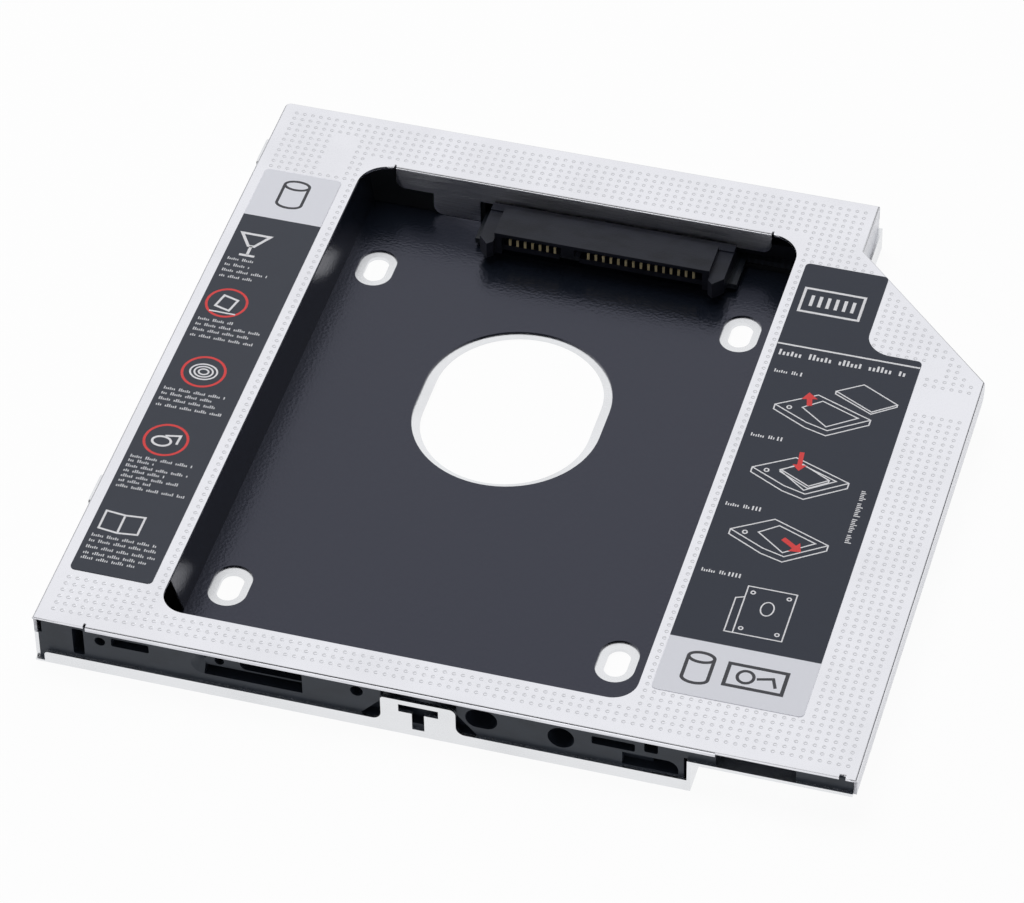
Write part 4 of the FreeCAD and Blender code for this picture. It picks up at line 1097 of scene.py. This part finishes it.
@dataclass
class RightLabel(Label):
    """Wide label with four steps drawn as plain boxes and a pale foot."""

    node: str = "right_label"
    film: LabelFilm = LabelFilm("right_label_film", (0.007, 0.010, 0.022), 0.42,
                                mirror_tint=(0.88, 0.93, 1.0), pale_from=0.0, pale_to=21.8)
    line: float = 0.22
    mark_line: float = 0.45
    disc_line: float = 0.5
    drum_line: float = 0.55
    drive_line: float = 0.6
    dot_sides: int = 12
    socket_frame: Numbers = (31.6, 97.6, 41.4, 103.2)
    socket_pin: Numbers = (32.9, 99.1, 33.45, 101.7)
    socket_pins: int = 6
    socket_pitch: float = 1.36
    head_bar: Numbers = (30.25, 89.1, 53.45, 89.45)
    head_left: float = 31.0
    head_rules: Points = ((51.4, 87.3),)
    head_height: float = 1.3
    step_marks: Numbers = (82.9, 67.6, 51.5, 36.6)
    step_span: Point = (31.3, 34.9)
    step_height: float = 0.75
    count_span: Point = (35.5, 35.75)
    count_pitch: float = 0.55
    count_half: float = 0.45
    steps: tuple[tuple[Point, Numbers], ...] = (
        ((41.0, 74.6), (46.9, 80.1, 5.0)), ((41.0, 59.8), (41.6, 60.6, 3.9)), ((41.1, 45.6), ()),
    )
    tray_outer: Points = (
        (-7.7, 0.6), (-1.6, 4.4), (7.6, 0.9), (7.6, -0.3), (1.6, -4.4), (-2.0, -3.4), (-7.7, -0.5),
    )
    tray_inner: Points = ((-3.4, 1.0), (-0.6, 3.2), (5.6, 0.8), (1.2, -2.4))
    tray_edge: Points = ((-7.7, 0.6), (-2.0, -2.2), (1.6, -3.2), (7.6, 0.9))
    tray_eye: Numbers = (-5.4, 0.5, 0.35)
    slab_face: Points = ((-1.0, 0.1), (-0.22, 0.62), (1.0, -0.02), (0.28, -0.55))
    slab_edge: float = 0.5
    slab_tip: float = 0.1
    plan: Numbers = (39.1, 24.7, 46.7, 34.9)
    plan_strip: Points = ((39.1, 24.7), (37.8, 24.7), (37.8, 32.0), (39.1, 32.5))
    plan_dots: tuple[Point, Point] = ((40.1, 45.7), (25.9, 33.7))
    plan_dot: float = 0.32
    plan_hub: Numbers = (43.0, 30.8, 1.0)
    plan_squash: float = 1.45
    side_start: Point = (50.9, 47.8)
    side_ticks: int = 30
    side_group: int = 9
    side_gap: int = 5
    side_pitch: float = 0.4
    side_widths: Numbers = (1.0, 0.6, 0.6, 0.8, 0.6)
    arrows: tuple[tuple[Point, Point, float], ...] = (
        ((38.6, 76.2), (37.9, 79.2), 0.85),
        ((40.0, 65.6), (40.4, 61.4), 0.75),
        ((41.7, 46.2), (45.0, 44.0), 0.85),
    )
    drum: Numbers = (36.0, 16.2, 2.0, 4.4)
    drive_frame: Numbers = (40.4, 13.9, 49.3, 18.4)
    drive_disc: Numbers = (43.3, 16.15, 1.25)
    drive_arm: Points = ((48.1, 15.0), (47.4, 16.8), (45.0, 16.15))

    def print(self, press: Press) -> None:
        """Print the head, the steps and the foot."""
        self._head(press)
        for tray, slab in self.steps:
            self._tray(press, *tray)
            if slab:
                self._slab(press, *slab)
        self._plan(press)
        self._side_rules(press)
        press.ink = Shade.RED
        for tail, tip, width in self.arrows:
            press.arrow(tail, tip, width)
        press.ink = Shade.DARK
        press.drum(*self.drum, self.drum_line)
        press.outline(*self.drive_frame, self.drive_line)
        press.ring(*self.drive_disc, self.disc_line)
        press.line(self.drive_arm, self.disc_line)

    def _head(self, press: Press) -> None:
        """A plain socket face with a row of pins, a bar, and each step's rules and count."""
        press.outline(*self.socket_frame, self.mark_line)
        press.row(self.socket_pin, self.socket_pins, self.socket_pitch)
        press.block(*self.head_bar)
        press.rules(self.head_left, self.head_rules, self.head_height)
        left, right = self.step_span
        first, last = self.count_span
        for number, y in enumerate(self.step_marks, start=1):
            press.rules(left, ((right, y),), self.step_height)
            press.row((first, y - self.count_half, last, y + self.count_half), number,
                      self.count_pitch)

    def _tray(self, press: Press, x: float, y: float) -> None:
        """A plain slanted tray outline with an open middle, round a place."""
        for loop in (self.tray_outer, self.tray_inner):
            press.line(shifted(loop, x, y), self.line, True)
        press.line(shifted(self.tray_edge, x, y), self.line)
        dx, dy, radius = self.tray_eye
        press.ring(x + dx, y + dy, radius, self.line, sides=self.dot_sides)

    def _slab(self, press: Press, x: float, y: float, reach: float) -> None:
        """A plain slanted slab with one edge.

        Args:
            press: Press that prints it.
            x: Its middle across the bay.
            y: Its middle behind the front face.
            reach: Half its width.
        """
        face = [(x + reach * dx, y + reach * dy) for dx, dy in self.slab_face]
        left, _, right, front = face
        press.line(face, self.line, True)
        press.line([left, (left[0], y - self.slab_tip), (front[0], front[1] - self.slab_edge),
                    (right[0], right[1] - self.slab_edge), right], self.line)

    def _plan(self, press: Press) -> None:
        """A plain drive seen from below, with a side strip and four corner rounds."""
        press.outline(*self.plan, self.line)
        press.line(self.plan_strip, self.line)
        for x, y in product(*self.plan_dots):
            press.ring(x, y, self.plan_dot, self.line, sides=self.dot_sides)
        press.ring(*self.plan_hub, self.line, self.plan_squash)

    def _side_rules(self, press: Press) -> None:
        """A row of fine ticks that runs up beside the steps."""
        left, front = self.side_start
        for tick in range(self.side_ticks):
            if tick % self.side_group != self.side_gap:
                spot = front + tick * self.side_pitch
                width = self.side_widths[tick % len(self.side_widths)]
                press.block(left, spot, left + width, spot + self.side_pitch / 2)


Finishes = tuple[tuple[Finish, tuple[str, ...]], ...]


@dataclass
class Assembly:
    """Parts that keep their CAD meshes: each finish with the nodes that get it."""

    finishes: Finishes = ()

    def build(self) -> None:
        """Dress every node in its finish."""
        for finish, nodes in self.finishes:
            for node in nodes:
                dress_node(node, finish)


@dataclass
class Tray(Assembly):
    """Folded tray with the film on its floor."""

    finishes: Finishes = (
        (TRAY_METAL, ("bottom_shell",)),
        (FILM, ("insulating_film",)),
        (SCREW, ("frame_screws",)),
    )


@dataclass
class Mouldings(Assembly):
    """Plastic bars and strips between cover and tray."""

    finishes: Finishes = (
        (BLACK_PLASTIC, ("front_moulding",)),
        (INNER_PLASTIC, ("rear_moulding", "left_rail", "right_rail")),
    )


@dataclass
class Adapter(Assembly):
    """Circuit board with the drive's socket and the plug toward the host."""

    finishes: Finishes = (
        (BOARD, ("circuit_board",)),
        (SOCKET_PLASTIC, ("drive_connector_housing", "host_connector_housing")),
        (GOLD, ("drive_signal_contacts", "drive_power_contacts",
                "host_signal_contacts", "host_power_contacts")),
        (PEG, ("connector_pegs",)),
        (CERAMIC, ("board_capacitors",)),
        (SCREW, ("board_screws",)),
    )


def panel(name: str, half: Vector) -> bpy.types.Object:
    """A flat rectangle in the studio, by half its width and half its height in metres."""
    mesh = bpy.data.meshes.new(name)
    corners = [(half.x * i, half.y * j, 0.0) for i, j in ((-1, -1), (1, -1), (1, 1), (-1, 1))]
    mesh.from_pydata(corners, [], [(0, 1, 2, 3)])
    return stand(name, mesh)


@dataclass(frozen=True)
class SoftBox:
    """A soft box, its place and extent in metres; a radiance of 1 is a white face."""

    name: str
    spot: tuple[float, float, float]
    extent: Point
    radiance: float
    mirrored: bool = True

    def build(self) -> None:
        """Hang the box so that it faces the caddy."""
        light = bpy.data.lights.new(self.name, "AREA")
        light.shape = "RECTANGLE"
        light.size, light.size_y = self.extent
        light.energy = self.radiance * math.pi * self.extent[0] * self.extent[1]
        box = stand(self.name, light)
        box.location = self.spot
        box.rotation_mode = "QUATERNION"
        box.rotation_quaternion = (-box.location).to_track_quat("-Z", "Y")
        box.visible_camera = False
        box.visible_glossy = self.mirrored


@dataclass(frozen=True)
class DarkCard:
    """A dark card that surfaces mirror, its place in metres and its extent in millimetres."""

    name: str
    spot: Sequence[float]
    extent: Point
    colour: Colour = (0.03, 0.03, 0.035)

    def build(self) -> None:
        """Stand the card so that it faces the caddy, hidden from the camera."""
        card = panel(self.name, Vector(self.extent) / 2 * MM)
        card.location = self.spot
        card.rotation_mode = "QUATERNION"
        card.rotation_quaternion = Vector(self.spot).to_track_quat("-Z", "Y")
        card.visible_camera = False
        graph = Graph(bpy.data.materials.new(self.name + "_black"))
        graph.output(graph.node("ShaderNodeBsdfDiffuse", None, {"Color": (*self.colour, 1.0)}))
        card.data.materials.append(graph.holder)


@dataclass
class Studio:
    """Pale floor, surrounding light, soft boxes, dark cards and the camera."""

    azimuth: float = 16.577
    elevation: float = 43.480
    roll: float = -0.913
    distance: float = 811.43
    aim: Point = (-6.463, 63.492)
    focal: float = 5123.2
    picture_width: float = 1024.0
    sensor: float = 36.0
    clip: Point = (0.01, 50.0)
    floor_reach: float = 4.0
    floor_gap: float = 0.05
    floor_colour: Colour = (0.92, 0.92, 0.93)
    floor_shine: float = 0.94
    surround: float = 0.38
    boxes: tuple[SoftBox, ...] = (
        SoftBox("top_soft_box", (-0.20, 0.20, 1.15), (0.9, 0.9), 3.0, mirrored=False),
        SoftBox("left_soft_box", (-0.95, 0.25, 0.50), (0.6, 0.6), 0.6),
        SoftBox("front_soft_box", (0.15, -1.05, 0.30), (0.9, 0.3), 0.7),
    )
    card_distance: float = 1350.0
    card_elevation: float = 54.0
    card_size: Point = (2200.0, 980.0)
    rear_cards: tuple[DarkCard, ...] = (
        DarkCard("right_card", (0.95, 1.00, 0.36), (1000.0, 620.0)),
        DarkCard("left_card", (-1.15, 0.95, 0.20), (900.0, 360.0)),
    )

    def build(self) -> None:
        """Set up floor, light, camera and cards."""
        self._floor()
        self._surroundings()
        for box in self.boxes:
            box.build()
        self._camera()
        over_camera = self._toward(self.card_elevation) * self.card_distance * MM
        for card in (DarkCard("front_card", over_camera, self.card_size), *self.rear_cards):
            card.build()
        bpy.context.scene.view_settings.view_transform = "Standard"

    def _floor(self) -> None:
        """A plain pale floor that keeps a light shadow."""
        floor = panel("studio_floor", Vector((self.floor_reach, self.floor_reach)))
        floor.location.z = -self.floor_gap * MM
        graph = Graph(bpy.data.materials.new("pale_floor"))
        matt = graph.node("ShaderNodeBsdfDiffuse", None, {"Color": (*self.floor_colour, 1.0)})
        glow = graph.node("ShaderNodeEmission", None, {"Color": WHITE_LIGHT})
        graph.output(graph.node("ShaderNodeMixShader", None,
                                {0: graph.shown() * self.floor_shine, 1: matt, 2: glow}))
        floor.data.materials.append(graph.holder)

    def _surroundings(self) -> None:
        """Even light from all round, white where it is seen or mirrored."""
        world = bpy.data.worlds.new("studio_surroundings")
        bpy.context.scene.world = world
        graph = Graph(world)
        strength = graph.shown() * (1.0 - self.surround) + self.surround
        graph.output(graph.node("ShaderNodeBackground", None,
                                {"Color": WHITE_LIGHT, "Strength": strength}))

    def _toward(self, elevation: float) -> Vector:
        """Direction from the caddy toward the camera's side, at an elevation in degrees."""
        turn, rise = math.radians(self.azimuth), math.radians(elevation)
        return Vector((math.sin(turn) * math.cos(rise), -math.cos(turn) * math.cos(rise),
                       math.sin(rise)))

    def _camera(self) -> None:
        """A long lens at the photograph's own angle."""
        lean = math.radians(self.roll)
        back = self._toward(self.elevation)
        right = Vector((0.0, 0.0, 1.0)).cross(back).normalized()
        up = back.cross(right)
        across = right * math.cos(lean) + up * math.sin(lean)
        upward = up * math.cos(lean) - right * math.sin(lean)
        data = bpy.data.cameras.new("photo_camera")
        data.sensor_width = self.sensor
        data.lens = self.focal * self.sensor / self.picture_width
        data.clip_start, data.clip_end = self.clip
        camera = stand("photo_camera", data)
        spot = place(*self.aim, 0.0) + back * self.distance * MM
        camera.matrix_world = Matrix.Translation(spot) @ Matrix(
            (across, upward, back)).transposed().to_4x4()
        bpy.context.scene.camera = camera


def main() -> None:
    """Build the caddy piece by piece, then the studio round it."""
    logging.basicConfig(level=logging.INFO, format="%(name)s: %(message)s")
    for assembly in (Cover(), Tray(), Mouldings(), Adapter(), LeftLabel(), RightLabel()):
        assembly.build()
        log.info("finished %s", type(assembly).__name__)
    Studio().build()


if __name__ == "__main__":
    main()
